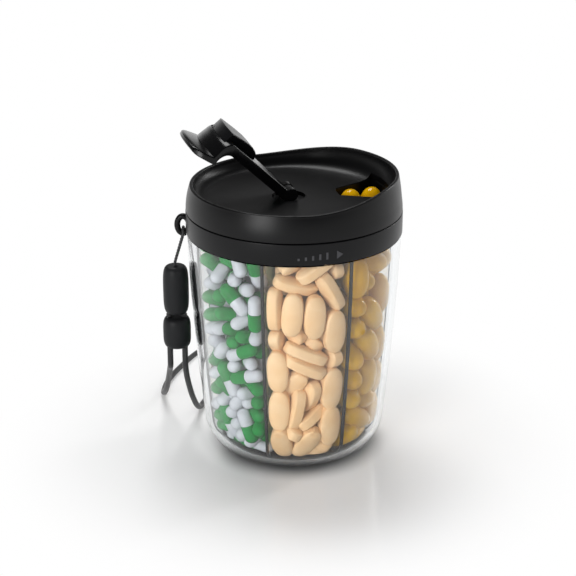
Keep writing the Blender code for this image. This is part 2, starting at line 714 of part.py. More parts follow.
def lever_profile():
    """The lever's side view when closed: (along, up) from the pin's axis."""
    riser = riser_face()
    riser_out = riser[-1][0]
    riser_in = riser_out - RISER_THICKNESS
    tab_out = riser_out + TAB_LENGTH
    bend = arc(
        riser_in - BEND_RADIUS,
        ARM_TOP + BEND_RADIUS,
        BEND_RADIUS,
        BEND_RADIUS,
        math.radians(-90),
        0.0,
        FILLET_STEPS,
    )
    heel_start = STOPPER_RADIUS + HINGE_OFFSET - STOPPER_LENGTH - FIT_GAP
    return [
        (0.0, -ARM_UNDERSIDE),
        (heel_start - ARM_UNDERSIDE - PLATE_UNDERSIDE, -ARM_UNDERSIDE),
        (heel_start, PLATE_UNDERSIDE),
        *riser,
        (tab_out, TAB_UNDERSIDE + TAB_RISE),
        (tab_out - TAB_RISE / 2, TAB_UNDERSIDE + TAB_RISE + TAB_THICKNESS),
        (riser_out, TAB_UNDERSIDE + TAB_THICKNESS + TAB_RISE / 4),
        (riser_in, TAB_UNDERSIDE + TAB_THICKNESS / 4),
        *reversed(bend),
        (0.0, ARM_TOP),
    ]


def lever_plan():
    """The lever seen from above: a narrow neck that widens to the tab's round corners."""
    tab_out = RISER_RADIUS + HINGE_OFFSET + TAB_LENGTH + TAB_CORNER
    corner = arc(
        tab_out - 2 * TAB_CORNER,
        TAB_HALF_WIDTH - TAB_CORNER,
        TAB_CORNER,
        TAB_CORNER,
        math.radians(90),
        0.0,
        FILLET_STEPS,
    )
    side = [(-OVERRUN, KNUCKLE_HALF_WIDTH), (ARM_NECK_LENGTH, KNUCKLE_HALF_WIDTH), *corner]
    return side + [(x, -y) for x, y in reversed(side)]


def sagged(x, y, radius):
    """Bows a straight line across the lever to run concentric with the dial, more towards its end."""
    start = PORT_INNER_RADIUS + HINGE_OFFSET
    share = min(1.0, max(0.0, (x - start) / (radius - start)))
    return x - share * (radius - math.sqrt(radius**2 - y**2))


def lever_blank():
    """The lever's side view drawn across its width, bowed to run concentric with the dial."""
    shell = bmesh.new()
    half_span = TAB_HALF_WIDTH + OVERRUN
    side = shell.faces.new([shell.verts.new((x, -half_span, z)) for x, z in lever_profile()])
    for section in range(LEVER_SECTIONS):
        made = bmesh.ops.extrude_face_region(shell, geom=[side])["geom"]
        moved = [v for v in made if isinstance(v, bmesh.types.BMVert)]
        bmesh.ops.translate(shell, verts=moved, vec=(0.0, 2 * half_span / LEVER_SECTIONS, 0.0))
        if section:
            shell.faces.remove(side)
        side = next(f for f in made if isinstance(f, bmesh.types.BMFace))
    for vertex in shell.verts:
        vertex.co.x = sagged(vertex.co.x, vertex.co.y, RISER_RADIUS)
    bmesh.ops.recalc_face_normals(shell, faces=shell.faces)
    mesh = bpy.data.meshes.new("flip_lever")
    shell.to_mesh(mesh)
    shell.free()
    return bpy.data.objects.new("flip_lever", mesh)


def make_lever(parts, cutters, hinge):
    lever = put(lever_blank(), parts, hinge)
    reach = TAB_UNDERSIDE + TAB_RISE + TAB_THICKNESS + OVERRUN
    plan = plate("Lever plan", lever_plan(), 2 * reach, axis="Z")
    put(as_cutter(plan), cutters, hinge)
    boolean(lever, plan, "INTERSECT")
    knuckle = rod("Knuckle", KNUCKLE_RADIUS, 2 * KNUCKLE_HALF_WIDTH, "Y")
    put(as_cutter(knuckle), cutters, hinge)
    boolean(lever, knuckle, "UNION")
    bore = rod("Knuckle bore", PIN_RADIUS + FIT_GAP, 2 * (PIN_HALF_LENGTH + FIT_GAP), "Y")
    slot_start = -(KNUCKLE_RADIUS + OVERRUN)
    slot_sides = [(slot_start, -reach), (FORK_LENGTH, -reach), (FORK_LENGTH, reach), (slot_start, reach)]
    slot = plate("Fork slot", slot_sides, 2 * (BOSS_HALF_WIDTH + RUN_GAP))
    for shape in (bore, slot):
        put(as_cutter(shape), cutters, hinge)
        boolean(lever, shape, "DIFFERENCE")
    socket_depth = STOPPER_PEG_HEIGHT + FIT_GAP
    socket = rod("Stopper socket", STOPPER_PEG_RADIUS + FIT_GAP, 2 * socket_depth, "Z")
    socket.location = (stopper_middle(), 0.0, PLATE_UNDERSIDE)
    put(as_cutter(socket), cutters, hinge)
    boolean(lever, socket, "DIFFERENCE")
    finish(lever, (0.018, 0.018, 0.02), 0.35)
    smooth(lever)


def stopper_middle():
    return STOPPER_RADIUS + HINGE_OFFSET - STOPPER_LENGTH / 2


def make_stopper(parts, cutters, hinge):
    """A sector-shaped plug under the lever, held by a peg. Its underside slopes up to the tip."""
    inner = STOPPER_RADIUS - STOPPER_LENGTH
    half_angle = PORT_HALF_ANGLE - math.atan(STOPPER_SLACK / STOPPER_RADIUS)
    outline = port_outline(STOPPER_RADIUS, inner, STOPPER_INNER_HALF_WIDTH, half_angle)
    shifted = [(x + HINGE_OFFSET, y) for x, y in outline]
    top = PLATE_UNDERSIDE - FIT_GAP
    bottom = -(ARM_UNDERSIDE + STOPPER_DROP)
    stopper = plate("stopper_seal", shifted, top - bottom, axis="Z")
    stopper.data.transform(Matrix.Translation((0.0, 0.0, (top + bottom) / 2)))
    tip = inner + HINGE_OFFSET
    for vertex in stopper.data.vertices:
        if vertex.co.z < 0:
            share = 1 - (vertex.co.x - tip) / STOPPER_LENGTH
            vertex.co.z += (STOPPER_DROP - STOPPER_TIP_DROP) * share
    put(stopper, parts, hinge)
    bevel = stopper.modifiers.new("Soft edges", "BEVEL")
    bevel.width = STOPPER_BEVEL
    bevel.segments = 2
    bevel.limit_method = "ANGLE"
    bevel.angle_limit = math.radians(40)
    peg = rod("Stopper peg", STOPPER_PEG_RADIUS, 2 * STOPPER_PEG_HEIGHT, "Z")
    peg.location = (stopper_middle(), 0.0, top)
    put(as_cutter(peg), cutters, hinge)
    boolean(stopper, peg, "UNION")
    finish(stopper, (0.02, 0.02, 0.021), 0.5)
    smooth(stopper)


def make_pin(parts, frame):
    pin = put(rod("hinge_pin", PIN_RADIUS, 2 * PIN_HALF_LENGTH, "Y"), parts, frame)
    pin.location = (-HINGE_OFFSET, 0.0, PIVOT_HEIGHT)
    finish(pin, (0.6, 0.6, 0.62), 0.25, metallic=1.0)
    smooth(pin)


def rounded_barrel(radius, height, rounding):
    """(radius, height) points of a barrel with well-rounded ends, about its own middle."""
    middle = (radius - rounding, height / 2 - rounding)
    top = arc(*middle, rounding, rounding, math.radians(90), 0.0, FILLET_STEPS)
    bottom = [(r, -z) for r, z in reversed(top)]
    return [(0.0, height / 2), *top, *bottom, (0.0, -height / 2)]


def make_lanyard(parts, cutters):
    barrel = rounded_barrel(BEAD_RADIUS, BEAD_HEIGHT, BEAD_ROUND)
    bead = put(turned("lanyard_bead", barrel, SMALL_STEPS, closed=False), parts)
    bead.location = (LANYARD_X, 0.0, BEAD_TOP - BEAD_HEIGHT / 2)
    barrel = rounded_barrel(SLIDER_RADIUS, SLIDER_HEIGHT, SLIDER_ROUND)
    slider = put(turned("lanyard_slider", barrel, SMALL_STEPS, closed=False), parts)
    slider.location = (LANYARD_X, 0.0, SLIDER_TOP - SLIDER_HEIGHT / 2)
    for side in (-1, 1):
        bore = rod(f"Slider bore {side}", CORD_RADIUS + FIT_GAP, SLIDER_HEIGHT + OVERRUN, "Z")
        bore.location = (LANYARD_X + side * CORD_SPACING / 2, 0.0, SLIDER_TOP - SLIDER_HEIGHT / 2)
        put(as_cutter(bore), cutters)
        boolean(slider, bore, "DIFFERENCE")
    for piece in (bead, slider):
        finish(piece, (0.025, 0.025, 0.027), 0.6)
        smooth(piece)
    make_tie(parts)
    points, length = smooth_route(LOOP_ROUTE, CORD_SPAN)
    print(f"lanyard loop {length / MM:.1f} mm in {len(points)} points")
    loop = put(tube("lanyard_loop", points, CORD_RADIUS, 2), parts)
    finish(loop, (0.015, 0.015, 0.016), 0.8)


def make_tie(parts):
    """A thin double strand from the bead's top, up through the collar's eye and back."""
    foot = BEAD_TOP + FIT_GAP
    turn_height = EYE_HEIGHT - EYE_HALF_HEIGHT
    rise = turn_height - foot
    half = [
        (
            LANYARD_X + (EYE_X - LANYARD_X) * out,
            TIE_SPREAD + (TIE_TURN - TIE_SPREAD) * spread,
            foot + rise * up,
        )
        for out, spread, up in TIE_ROUTE_SHARES
    ]
    half += [(EYE_X, TIE_TURN * across, turn_height + TIE_TURN * up) for across, up in TIE_CROWN_SHARES]
    route = half + [(x, -y, z) for x, y, z in reversed(half[:-1])]
    points, length = smooth_route(route, 4 * TIE_RADIUS)
    print(f"lanyard tie {length / MM:.1f} mm in {len(points)} points")
    tie = put(tube("lanyard_tie", points, TIE_RADIUS, 2), parts)
    finish(tie, (0.05, 0.05, 0.055), 0.8)


def empty(name, collection, location, rotation, parent=None):
    obj = bpy.data.objects.new(name, None)
    obj.location = location
    obj.rotation_euler = rotation
    return put(obj, collection, parent)


def main():
    for obj in list(bpy.data.objects):
        bpy.data.objects.remove(obj)
    parts = new_collection("Pill organizer bottle")
    cutters = new_collection("Cutters")
    lid_frame = empty("Lid frame", parts, (0.0, 0.0, 0.0), (0.0, 0.0, LID_ANGLE))
    hinge_place = (-HINGE_OFFSET, 0.0, PIVOT_HEIGHT)
    hinge = empty("Hinge frame", parts, hinge_place, (0.0, -LEVER_OPEN, 0.0), lid_frame)
    make_cup(parts, cutters)
    make_divider(parts)
    make_collar(parts, cutters)
    make_lid(parts, cutters, lid_frame)
    make_pin(parts, lid_frame)
    make_lever(parts, cutters, hinge)
    make_stopper(parts, cutters, hinge)
    make_lanyard(parts, cutters)


main()
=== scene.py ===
import math

import bmesh
import bpy
import numpy as np
from mathutils import Matrix, Vector


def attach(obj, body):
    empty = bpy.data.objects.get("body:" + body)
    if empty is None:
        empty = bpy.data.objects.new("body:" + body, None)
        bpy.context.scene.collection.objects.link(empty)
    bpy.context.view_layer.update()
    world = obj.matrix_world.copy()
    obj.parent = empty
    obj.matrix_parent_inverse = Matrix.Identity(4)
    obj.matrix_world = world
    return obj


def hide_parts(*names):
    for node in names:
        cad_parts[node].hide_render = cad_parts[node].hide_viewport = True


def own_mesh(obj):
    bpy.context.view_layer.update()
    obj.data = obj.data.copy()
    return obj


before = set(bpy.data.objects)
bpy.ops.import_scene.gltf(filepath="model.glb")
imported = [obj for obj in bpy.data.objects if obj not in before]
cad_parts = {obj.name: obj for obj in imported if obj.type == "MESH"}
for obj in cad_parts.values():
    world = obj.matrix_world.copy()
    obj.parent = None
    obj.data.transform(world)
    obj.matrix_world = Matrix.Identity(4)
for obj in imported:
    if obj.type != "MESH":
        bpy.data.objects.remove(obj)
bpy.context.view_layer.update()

MM = 0.001

# Camera: the photograph's view, from the front and a little above
CAMERA_TARGET = Vector((-2.4 * MM, 0.0, 66.4 * MM))
CAMERA_DISTANCE = 650 * MM
CAMERA_ELEVATION = math.radians(21.7)
CAMERA_LENS = 101.6  # mm on a 36 mm sensor
CAMERA_SENSOR = 36.0

# Sizes, most of them the frame's own
CUP_RADIUS = 42.2 * MM
CUP_HEIGHT = 91.3 * MM
CUP_FOOT_RADIUS = 23.0 * MM
CUP_HEEL_RADIUS = 13.5 * MM
CUP_HEEL_SWEEP = math.radians(84)
CUP_FLARE_SHARE = 1.5
CUP_WALL = 2.4 * MM
CUP_TOP_WALL = 3.3 * MM
NECK_RADIUS = 40.1 * MM
NECK_TOP = 97.6 * MM
NECK_ROUND = 0.3 * MM
THREAD_STARTS = 4
THREAD_LEAD = 12.0 * MM
THREAD_BEAD_RADIUS = 0.7 * MM
THREAD_RADIUS = 40.3 * MM
THREAD_SWEEP = math.radians(100)
THREAD_FOOT = 92.6 * MM
LANYARD_X = -47.2 * MM
BEAD_RADIUS = 5.15 * MM
BEAD_HEIGHT = 20.5 * MM
BEAD_MIDDLE = 65.95 * MM
SLIDER_RADIUS = 5.6 * MM
SLIDER_HEIGHT = 13.2 * MM
SLIDER_MIDDLE = 47.8 * MM
CORD_RADIUS = 1.2 * MM
CORD_SPACING = 6.0 * MM
TIE_RADIUS = 0.6 * MM
COLLAR_RADIUS = 42.6 * MM
COLLAR_BORE = 41.3 * MM
COLLAR_BOTTOM = 91.8 * MM
COLLAR_TOP = 100.3 * MM
COLLAR_EDGE = 0.3 * MM
DECK_BOTTOM = 99.2 * MM
SPIGOT_RADIUS = 40.1 * MM
SPIGOT_LIP = 0.7 * MM
SPIGOT_LIP_BOTTOM = 102.6 * MM
SPIGOT_TOP = 103.5 * MM
NECK_BORE = 38.9 * MM
EYE_PLACE = Vector((-43.7 * MM, 0.0, 93.3 * MM))
EYE_HALF_WIDTH = 2.3 * MM
EYE_HALF_HEIGHT = 3.5 * MM
EYE_ROD_RADIUS = 1.2 * MM
LID_TURN = math.radians(14)  # where the port stands, from +X
LID_RADIUS = 42.5 * MM
LID_BOTTOM = 100.6 * MM
LID_LEAN = 1.6 * MM
LID_BORE = 41.1 * MM
LID_CEILING = 103.9 * MM
FLOOR_TOP = 105.5 * MM
DISH_RADIUS = 35.0 * MM
DISH_SPREAD = 3.0 * MM  # how much wider the dish's curve runs where the rim is high
RIM_TOP = 110.7 * MM
RIM_RADIUS = 40.9 * MM
RIM_INNER_RADIUS = 39.4 * MM
RIM_ROUND = 0.45 * MM
RIM_RISE = 4.2 * MM
RIM_RISE_INNER = math.radians(35)
RIM_RISE_OUTER = math.radians(97)
SKIRT_RADIUS = 38.5 * MM
SKIRT_BOTTOM = 100.2 * MM
SKIRT_WALL = 1.2 * MM
DISC_BOTTOM = 98.6 * MM
DISC_TOP = 99.9 * MM
PORT_OUTER_RADIUS = 37.3 * MM
PORT_INNER_RADIUS = 17.6 * MM
PORT_INNER_HALF_WIDTH = 4.6 * MM
PORT_HALF_ANGLE = math.radians(19.5)
PORT_CORNER = 1.4 * MM
CHUTE_WALL = 1.0 * MM
WELL_RADIUS = 6.6 * MM
WELL_DEPTH = 1.3 * MM
HINGE_OFFSET = 2.2 * MM
PIVOT_HEIGHT = 107.3 * MM
LEVER_OPEN = math.radians(135.5)
KNUCKLE_RADIUS = 2.5 * MM
KNUCKLE_HALF_WIDTH = 5.2 * MM
BOSS_RADIUS = 2.2 * MM
BOSS_HALF_WIDTH = 1.7 * MM
FORK_GAP = 0.4 * MM
FORK_LENGTH = 6.5 * MM
PIN_RADIUS = 0.9 * MM
PIN_HALF_LENGTH = 3.9 * MM
PIN_CLEARANCE = 0.3 * MM
BOW_RADIUS = 38.8 * MM  # the lever's end runs concentric with the dial
BOW_START = 19.8 * MM
HUB_RADIUS = 2.4 * MM
HUB_BOTTOM = 2.7 * MM
HUB_PLATE_TOP = 5.1 * MM
DIVIDER_TOP = 98.2 * MM
DIVIDER_GAP = 0.3 * MM
VANE_THICKNESS = 1.2 * MM
EDGING_WIDTH = 0.8 * MM
EDGING_DEPTH = 0.6 * MM
COMPARTMENTS = 7
FRONT_COMPARTMENT = math.radians(277.5)
OVERRUN = 4.0 * MM

# The lanyard's loop, from the bead down to the floor, round behind the cup and back up again
LOOP_ROUTE = [
    (-50.2 * MM, 0.0, 55.4 * MM),
    (-50.2 * MM, 0.0, 46.0 * MM),
    (-50.2 * MM, 0.0, 36.0 * MM),
    (-50.3 * MM, 0.9 * MM, 32.2 * MM),
    (-50.9 * MM, 6.0 * MM, 28.8 * MM),
    (-52.3 * MM, 15.6 * MM, 20.4 * MM),
    (-54.6 * MM, 27.6 * MM, 8.8 * MM),
    (-56.6 * MM, 38.5 * MM, 2.2 * MM),
    (-56.2 * MM, 49.0 * MM, 1.4 * MM),
    (-53.8 * MM, 59.0 * MM, 1.4 * MM),
    (-50.4 * MM, 68.5 * MM, 1.4 * MM),
    (-46.4 * MM, 78.5 * MM, 1.4 * MM),
    (-41.4 * MM, 87.0 * MM, 1.4 * MM),
    (-33.5 * MM, 92.0 * MM, 1.4 * MM),
    (-24.5 * MM, 90.0 * MM, 1.4 * MM),
    (-18.8 * MM, 82.0 * MM, 1.4 * MM),
    (-18.5 * MM, 71.5 * MM, 1.4 * MM),
    (-23.0 * MM, 61.5 * MM, 1.4 * MM),
    (-29.5 * MM, 52.0 * MM, 1.4 * MM),
    (-34.8 * MM, 42.0 * MM, 1.4 * MM),
    (-38.2 * MM, 31.5 * MM, 1.6 * MM),
    (-40.4 * MM, 22.5 * MM, 3.0 * MM),
    (-42.2 * MM, 13.5 * MM, 11.5 * MM),
    (-43.7 * MM, 5.0 * MM, 23.5 * MM),
    (-44.2 * MM, 0.9 * MM, 31.6 * MM),
    (-44.2 * MM, 0.0, 36.0 * MM),
    (-44.2 * MM, 0.0, 46.0 * MM),
    (-44.2 * MM, 0.0, 55.4 * MM),
]

# Half of the thin tie, from the bead's top up to the crown of its turn through the collar's eye
TIE_HALF_ROUTE = [
    (-47.2 * MM, 0.9 * MM, 76.5 * MM),
    (-47.2 * MM, 0.9 * MM, 77.83 * MM),
    (-45.45 * MM, 1.55 * MM, 83.815 * MM),
    (-43.7 * MM, 2.2 * MM, 89.8 * MM),
    (-43.7 * MM, 1.65 * MM, 91.56 * MM),
    (-43.7 * MM, 0.0, 92.22 * MM),
]

# The opening mark on the collar: along the face from the front, to the right
MARK_HEIGHT = 95.4 * MM
MARK_RAISE = 0.12 * MM
MARK_DEPTH = 0.2 * MM
MARK_START = 1.5 * MM
MARK_STEP = 2.7 * MM
MARK_BAR_WIDTH = 0.8 * MM
MARK_BAR_FIRST = 0.9 * MM
MARK_BAR_GROWTH = 0.45 * MM
MARK_BAR_TALLEST = 2.7 * MM
MARK_ARROW = 17.4 * MM
MARK_ARROW_LENGTH = 2.5 * MM
MARK_ARROW_HALF = 1.6 * MM

# The flip lever as it lies closed: x from the pin towards the port, z up from the pin
ARM_LOW = -0.35 * MM
ARM_HIGH = 3.5 * MM
ARM_NECK = 4.2 * MM
ARM_END = 42.2 * MM
ARM_END_HALF_WIDTH = 15.8 * MM
BEND_LOW_X = 36.1 * MM
BEND_LOW_R = 4.2 * MM
BEND_HIGH_X = 33.6 * MM
BEND_HIGH_R = 5.0 * MM
TAB_STATIONS = [  # lower x and z, upper x and z, half width
    ((40.75 * MM, 6.0 * MM), (38.75 * MM, 9.2 * MM), 15.7 * MM),
    ((41.0 * MM, 8.0 * MM), (39.4 * MM, 10.3 * MM), 15.8 * MM),
    ((42.2 * MM, 8.4 * MM), (41.3 * MM, 10.8 * MM), 15.7 * MM),
    ((43.6 * MM, 8.9 * MM), (42.9 * MM, 11.2 * MM), 15.4 * MM),
    ((45.0 * MM, 9.4 * MM), (44.4 * MM, 11.7 * MM), 14.6 * MM),
    ((46.0 * MM, 9.75 * MM), (45.5 * MM, 12.0 * MM), 13.5 * MM),
    ((46.7 * MM, 10.15 * MM), (46.3 * MM, 12.0 * MM), 12.5 * MM),
    ((47.0 * MM, 10.6 * MM), (46.8 * MM, 11.7 * MM), 12.0 * MM),
]
STOPPER_MIDDLE = 30.0 * MM
BED_GAP = 0.6 * MM
STOPPER_SHAPE = [  # lower x and z, upper x and z, half width, from the tip outwards
    (20.9 * MM, -0.9 * MM, 20.9 * MM, 0.5 * MM, 3.2 * MM),
    (21.1 * MM, -1.7 * MM, 21.1 * MM, 0.5 * MM, 3.5 * MM),
    (21.8 * MM, -2.5 * MM, 21.8 * MM, 0.5 * MM, 3.9 * MM),
    (23.2 * MM, -3.2 * MM, 23.2 * MM, 0.5 * MM, 4.6 * MM),
    (25.2 * MM, -3.7 * MM, 25.2 * MM, 0.5 * MM, 5.6 * MM),
    (28.0 * MM, -3.9 * MM, 28.0 * MM, 0.5 * MM, 6.9 * MM),
    (32.0 * MM, -3.7 * MM, 32.0 * MM, 0.5 * MM, 8.7 * MM),
    (36.0 * MM, -3.3 * MM, 36.0 * MM, 0.5 * MM, 10.5 * MM),
    (38.1 * MM, -3.1 * MM, 38.3 * MM, 1.4 * MM, 11.4 * MM),
    (38.6 * MM, -3.0 * MM, 39.15 * MM, 2.9 * MM, 11.6 * MM),
]
NOTCH_OUTLINE = [(37.4 * MM, 0.2 * MM), (42.0 * MM, 0.2 * MM), (42.0 * MM, 1.4 * MM), (38.0 * MM, 1.4 * MM)]
NOTCH_HALF_WIDTH = 0.6 * MM
NOTCH_ACROSS = 6.0 * MM

FRAME_PIXELS = 576  # the photograph's width and height

# The pills, in millimetres: radius of the spheres that stand for one, and where they sit along and across it
PILL_SPHERES = {
    "capsule": (2.8, [(u, 0.0) for u in (-4.8, -2.4, 0.0, 2.4, 4.8)]),
    "tablet": (2.8, [(u, v) for u in (-6.0, -3.0, 0.0, 3.0, 6.0) for v in (-1.3, 1.3)]),
    "softgel": (4.65, [(u, 0.0) for u in (-3.85, -1.3, 1.3, 3.85)]),
}
PILL_HALF_LENGTH = {"capsule": 7.6, "tablet": 8.8, "softgel": 8.5}
PILL_COUNT = {"capsule": 100, "tablet": 59, "softgel": 36}
PILL_KINDS = ("tablet", "softgel", "softgel", "capsule", "tablet", "capsule", "capsule")
VANE_CLEARANCE = 0.9
WALL_CLEARANCE = 0.15
HEEL_MARGIN = 2.0
LOOSE_COMPARTMENT = 5  # at the far left the pills stand off the wall
LOOSE_MARGIN = 3.4
PILL_FLOOR = 5.15
PILL_CEILING = 98.0
SETTLE_ROUNDS = 260
SETTLE_DRIFT = 0.05
ANCHOR_PULL = 0.05
TABLET_REACH = 20.5  # pixels from a tablet's middle to its end

# Where the photo shows pills, in its pixels. Capsules: the green end, then the white end
CAPSULE_MARKS = [
    (214.1, 259.8, 213.7, 271.0), (224.9, 271.9, 239.5, 273.6), (247.3, 266.7, 255.0, 275.3),
    (206.8, 278.7, 218.9, 285.1), (207.7, 285.1, 214.1, 291.7), (234.4, 287.9, 254.2, 289.1),
    (230.9, 296.8, 218.9, 293.7), (247.3, 300.6, 235.2, 300.3), (211.5, 302.3, 223.2, 308.5),
    (253.3, 311.5, 236.1, 314.9), (206.8, 320.9, 212.3, 314.9), (218.4, 322.3, 214.9, 334.7),
    (230.9, 324.4, 244.7, 333.0), (254.5, 324.4, 257.6, 339.0), (239.5, 341.6, 226.6, 334.4),
    (212.3, 344.5, 222.3, 350.6), (252.8, 351.1, 237.3, 342.8), (238.7, 355.4, 253.3, 364.0),
    (210.3, 357.1, 216.3, 364.8), (224.0, 364.3, 238.2, 367.8), (241.3, 377.8, 256.8, 377.2),
    (215.4, 382.9, 218.4, 400.2), (224.9, 379.8, 228.4, 395.0), (245.1, 388.4, 238.7, 386.4),
    (256.3, 393.3, 251.9, 407.9), (243.9, 399.3, 237.8, 410.5), (218.9, 409.6, 227.5, 415.7),
    (232.7, 428.0, 236.1, 415.7), (246.4, 418.2, 244.7, 432.0), (218.9, 420.0, 223.2, 428.6),
    (260.2, 425.1, 258.5, 414.8), (257.6, 431.1, 253.3, 443.2), (225.8, 443.2, 229.2, 432.0),
    (241.3, 443.2, 251.6, 448.4), (260.2, 443.2, 255.9, 451.8),
]
# Softgels: middle, height and lean to the right of upright in degrees
SOFTGEL_MARKS = [
    (377.3, 269.3, 37.0, 20), (360.4, 265.3, 12.9, 0), (360.4, 276.2, 12.9, 0), (346.7, 277.9, 12.9, 0),
    (364.7, 308.0, 36.2, -35), (374.2, 293.4, 20.7, 10), (377.0, 312.3, 25.8, 0), (366.6, 346.4, 43.9, 8),
    (373.0, 379.5, 48.2, 5), (356.6, 381.2, 41.3, 0), (363.9, 410.1, 26.7, 90), (360.4, 426.3, 21.5, 75),
    (346.3, 432.0, 15.5, 0), (345.8, 296.8, 25.8, 0), (345.8, 329.5, 29.3, 0), (345.8, 364.0, 29.3, 0),
    (345.8, 395.0, 20.7, 0),
]
# Tablets: middle, lean to the right of upright in degrees, and 1 where the broad face shows
TABLET_MARKS = [
    (299.5, 279.4, 90, 0), (333.8, 287.4, -20, 0), (275.6, 306.5, 3, 1), (291.6, 313.7, 10, 1),
    (315.5, 314.5, 8, 1), (334.6, 328.8, -3, 1), (276.4, 336.0, 90, 0), (307.5, 346.0, 97, 1),
    (277.5, 366.3, 12, 1), (308.3, 363.9, 93, 1), (334.6, 379.0, 8, 1), (294.0, 387.0, 38, 1),
    (308.3, 396.6, 50, 1), (278.8, 406.9, -5, 1), (328.2, 418.1, -15, 1), (314.7, 430.8, -32, 1),
    (293.2, 437.2, -18, 1), (304.3, 450.0, 90, 0), (313.9, 450.0, 90, 0),
]
PORT_COMPARTMENT = 2
# The two softgels in the open port: middle and long axis
PORT_SOFTGELS = [
    ((21.8, 5.2, 97.5), (0.12, 0.33, 0.93)),
    ((29.9, 9.1, 97.3), (0.22, 0.48, 0.85)),
]


def add_camera():
    camera = bpy.data.cameras.new("Camera")
    camera.lens = CAMERA_LENS
    camera.sensor_width = CAMERA_SENSOR
    camera.clip_start = 10 * MM
    camera.clip_end = 100.0
    holder = bpy.data.objects.new("Camera", camera)
    bpy.context.scene.collection.objects.link(holder)
    back = Vector((0.0, -math.cos(CAMERA_ELEVATION), math.sin(CAMERA_ELEVATION)))
    holder.location = CAMERA_TARGET + back * CAMERA_DISTANCE
    holder.rotation_euler = (math.radians(90) - CAMERA_ELEVATION, 0.0, 0.0)
    bpy.context.scene.camera = holder


def link(obj):
    bpy.context.scene.collection.objects.link(obj)
    return obj


def mesh_object(name, shell):
    """A new object in the scene from a bmesh, which is freed."""
    mesh = bpy.data.meshes.new(name)
    shell.to_mesh(mesh)
    shell.free()
    return link(bpy.data.objects.new(name, mesh))


def smooth(obj, sharp=math.radians(35)):
    obj.data.shade_smooth()
    obj.data.set_sharp_from_angle(angle=sharp)
    return obj


def arc(centre_x, centre_y, radius_x, radius_y, start, end, steps):
    """Points of an elliptical arc, both ends among them."""
    turn = (end - start) / steps
    return [
        (
            centre_x + radius_x * math.cos(start + turn * i),
            centre_y + radius_y * math.sin(start + turn * i),
        )
        for i in range(steps + 1)
    ]


def turned(name, outline, steps, closed=True):
    """A piece turned about Z from (radius, height) points that run down the outer side."""
    mesh = bpy.data.meshes.new(name)
    edges = [(i, i + 1) for i in range(len(outline) - 1)]
    if closed:
        edges.append((len(outline) - 1, 0))
    mesh.from_pydata([(r, 0.0, z) for r, z in outline], edges, [])
    obj = link(bpy.data.objects.new(name, mesh))
    screw = obj.modifiers.new("Turn", "SCREW")
    screw.steps = steps
    screw.render_steps = steps
    screw.use_merge_vertices = True
    screw.merge_threshold = 0.01 * MM
    return applied(obj)


def applied(obj):
    """Makes an object's modifiers part of its mesh, with all its places in the mesh."""
    bpy.context.view_layer.update()
    graph = bpy.context.evaluated_depsgraph_get()
    mesh = bpy.data.meshes.new_from_object(obj.evaluated_get(graph))
    mesh.transform(obj.matrix_world)
    name = obj.name
    bpy.data.objects.remove(obj)
    mesh.name = name
    return link(bpy.data.objects.new(name, mesh))


def tube(name, points, radius):
    curve = bpy.data.curves.new(name, "CURVE")
    curve.dimensions = "3D"
    curve.bevel_depth = radius
    curve.bevel_resolution = 3
    curve.use_fill_caps = True
    spline = curve.splines.new("POLY")
    spline.points.add(len(points) - 1)
    for point, place in zip(spline.points, points):
        point.co = (*place, 1.0)
    obj = applied(link(bpy.data.objects.new(name, curve)))
    shell = bmesh.new()
    shell.from_mesh(obj.data)
    bmesh.ops.remove_doubles(shell, verts=shell.verts, dist=0.01 * MM)
    shell.to_mesh(obj.data)
    shell.free()
    return obj


def combined(target, tools, operation):
    """Joins or cuts a piece with others, which are used up."""
    for tool in tools:
        modifier = target.modifiers.new(operation.title(), "BOOLEAN")
        modifier.operation = operation
        modifier.object = tool
        modifier.solver = "EXACT"
    made = applied(target)
    for tool in tools:
        bpy.data.objects.remove(tool)
    return made


def smooth_route(route, spacing):
    """Evenly spaced points on a smooth curve through the route's own points."""
    knots = [Vector(p) for p in route]
    padded = [2 * knots[0] - knots[1], *knots, 2 * knots[-1] - knots[-2]]
    fine = []
    for before, start, end, after in zip(padded, padded[1:], padded[2:], padded[3:]):
        for i in range(24):
            t = i / 24
            fine.append(
                0.5
                * (
                    2 * start
                    + (end - before) * t
                    + (2 * before - 5 * start + 4 * end - after) * t**2
                    + (3 * start - before - 3 * end + after) * t**3
                )
            )
    fine.append(knots[-1])
    length = sum((b - a).length for a, b in zip(fine, fine[1:]))
    count = max(2, round(length / spacing))
    step = length / count
    points = [fine[0]]
    walked = 0.0
    for a, b in zip(fine, fine[1:]):
        span = (b - a).length
        while len(points) < count and walked + span >= step * len(points):
            points.append(a.lerp(b, (step * len(points) - walked) / span))
        walked += span
    points.append(fine[-1])
    return points


def swept(name, points, sides, radius_at):
    """A closed tube along points, whose radius depends on the length walked and the angle."""
    shell = bmesh.new()
    rings = []
    walked = 0.0
    ahead = (points[1] - points[0]).normalized()
    across = ahead.orthogonal().normalized()
    for i, point in enumerate(points):
        after = points[min(i + 1, len(points) - 1)]
        before = points[max(i - 1, 0)]
        turn = ahead.rotation_difference((after - before).normalized())
        across = turn @ across
        ahead = (after - before).normalized()
        up = ahead.cross(across)
        walked += (point - before).length
        ring = []
        for k in range(sides):
            angle = math.tau * k / sides
            reach = radius_at(walked, angle)
            ring.append(shell.verts.new(point + reach * (math.cos(angle) * across + math.sin(angle) * up)))
        rings.append(ring)
    for low, high in zip(rings, rings[1:]):
        for k in range(sides):
            shell.faces.new((low[k], low[(k + 1) % sides], high[(k + 1) % sides], high[k]))
    shell.faces.new(list(reversed(rings[0])))
    shell.faces.new(rings[-1])
    return smooth(mesh_object(name, shell), math.radians(60))


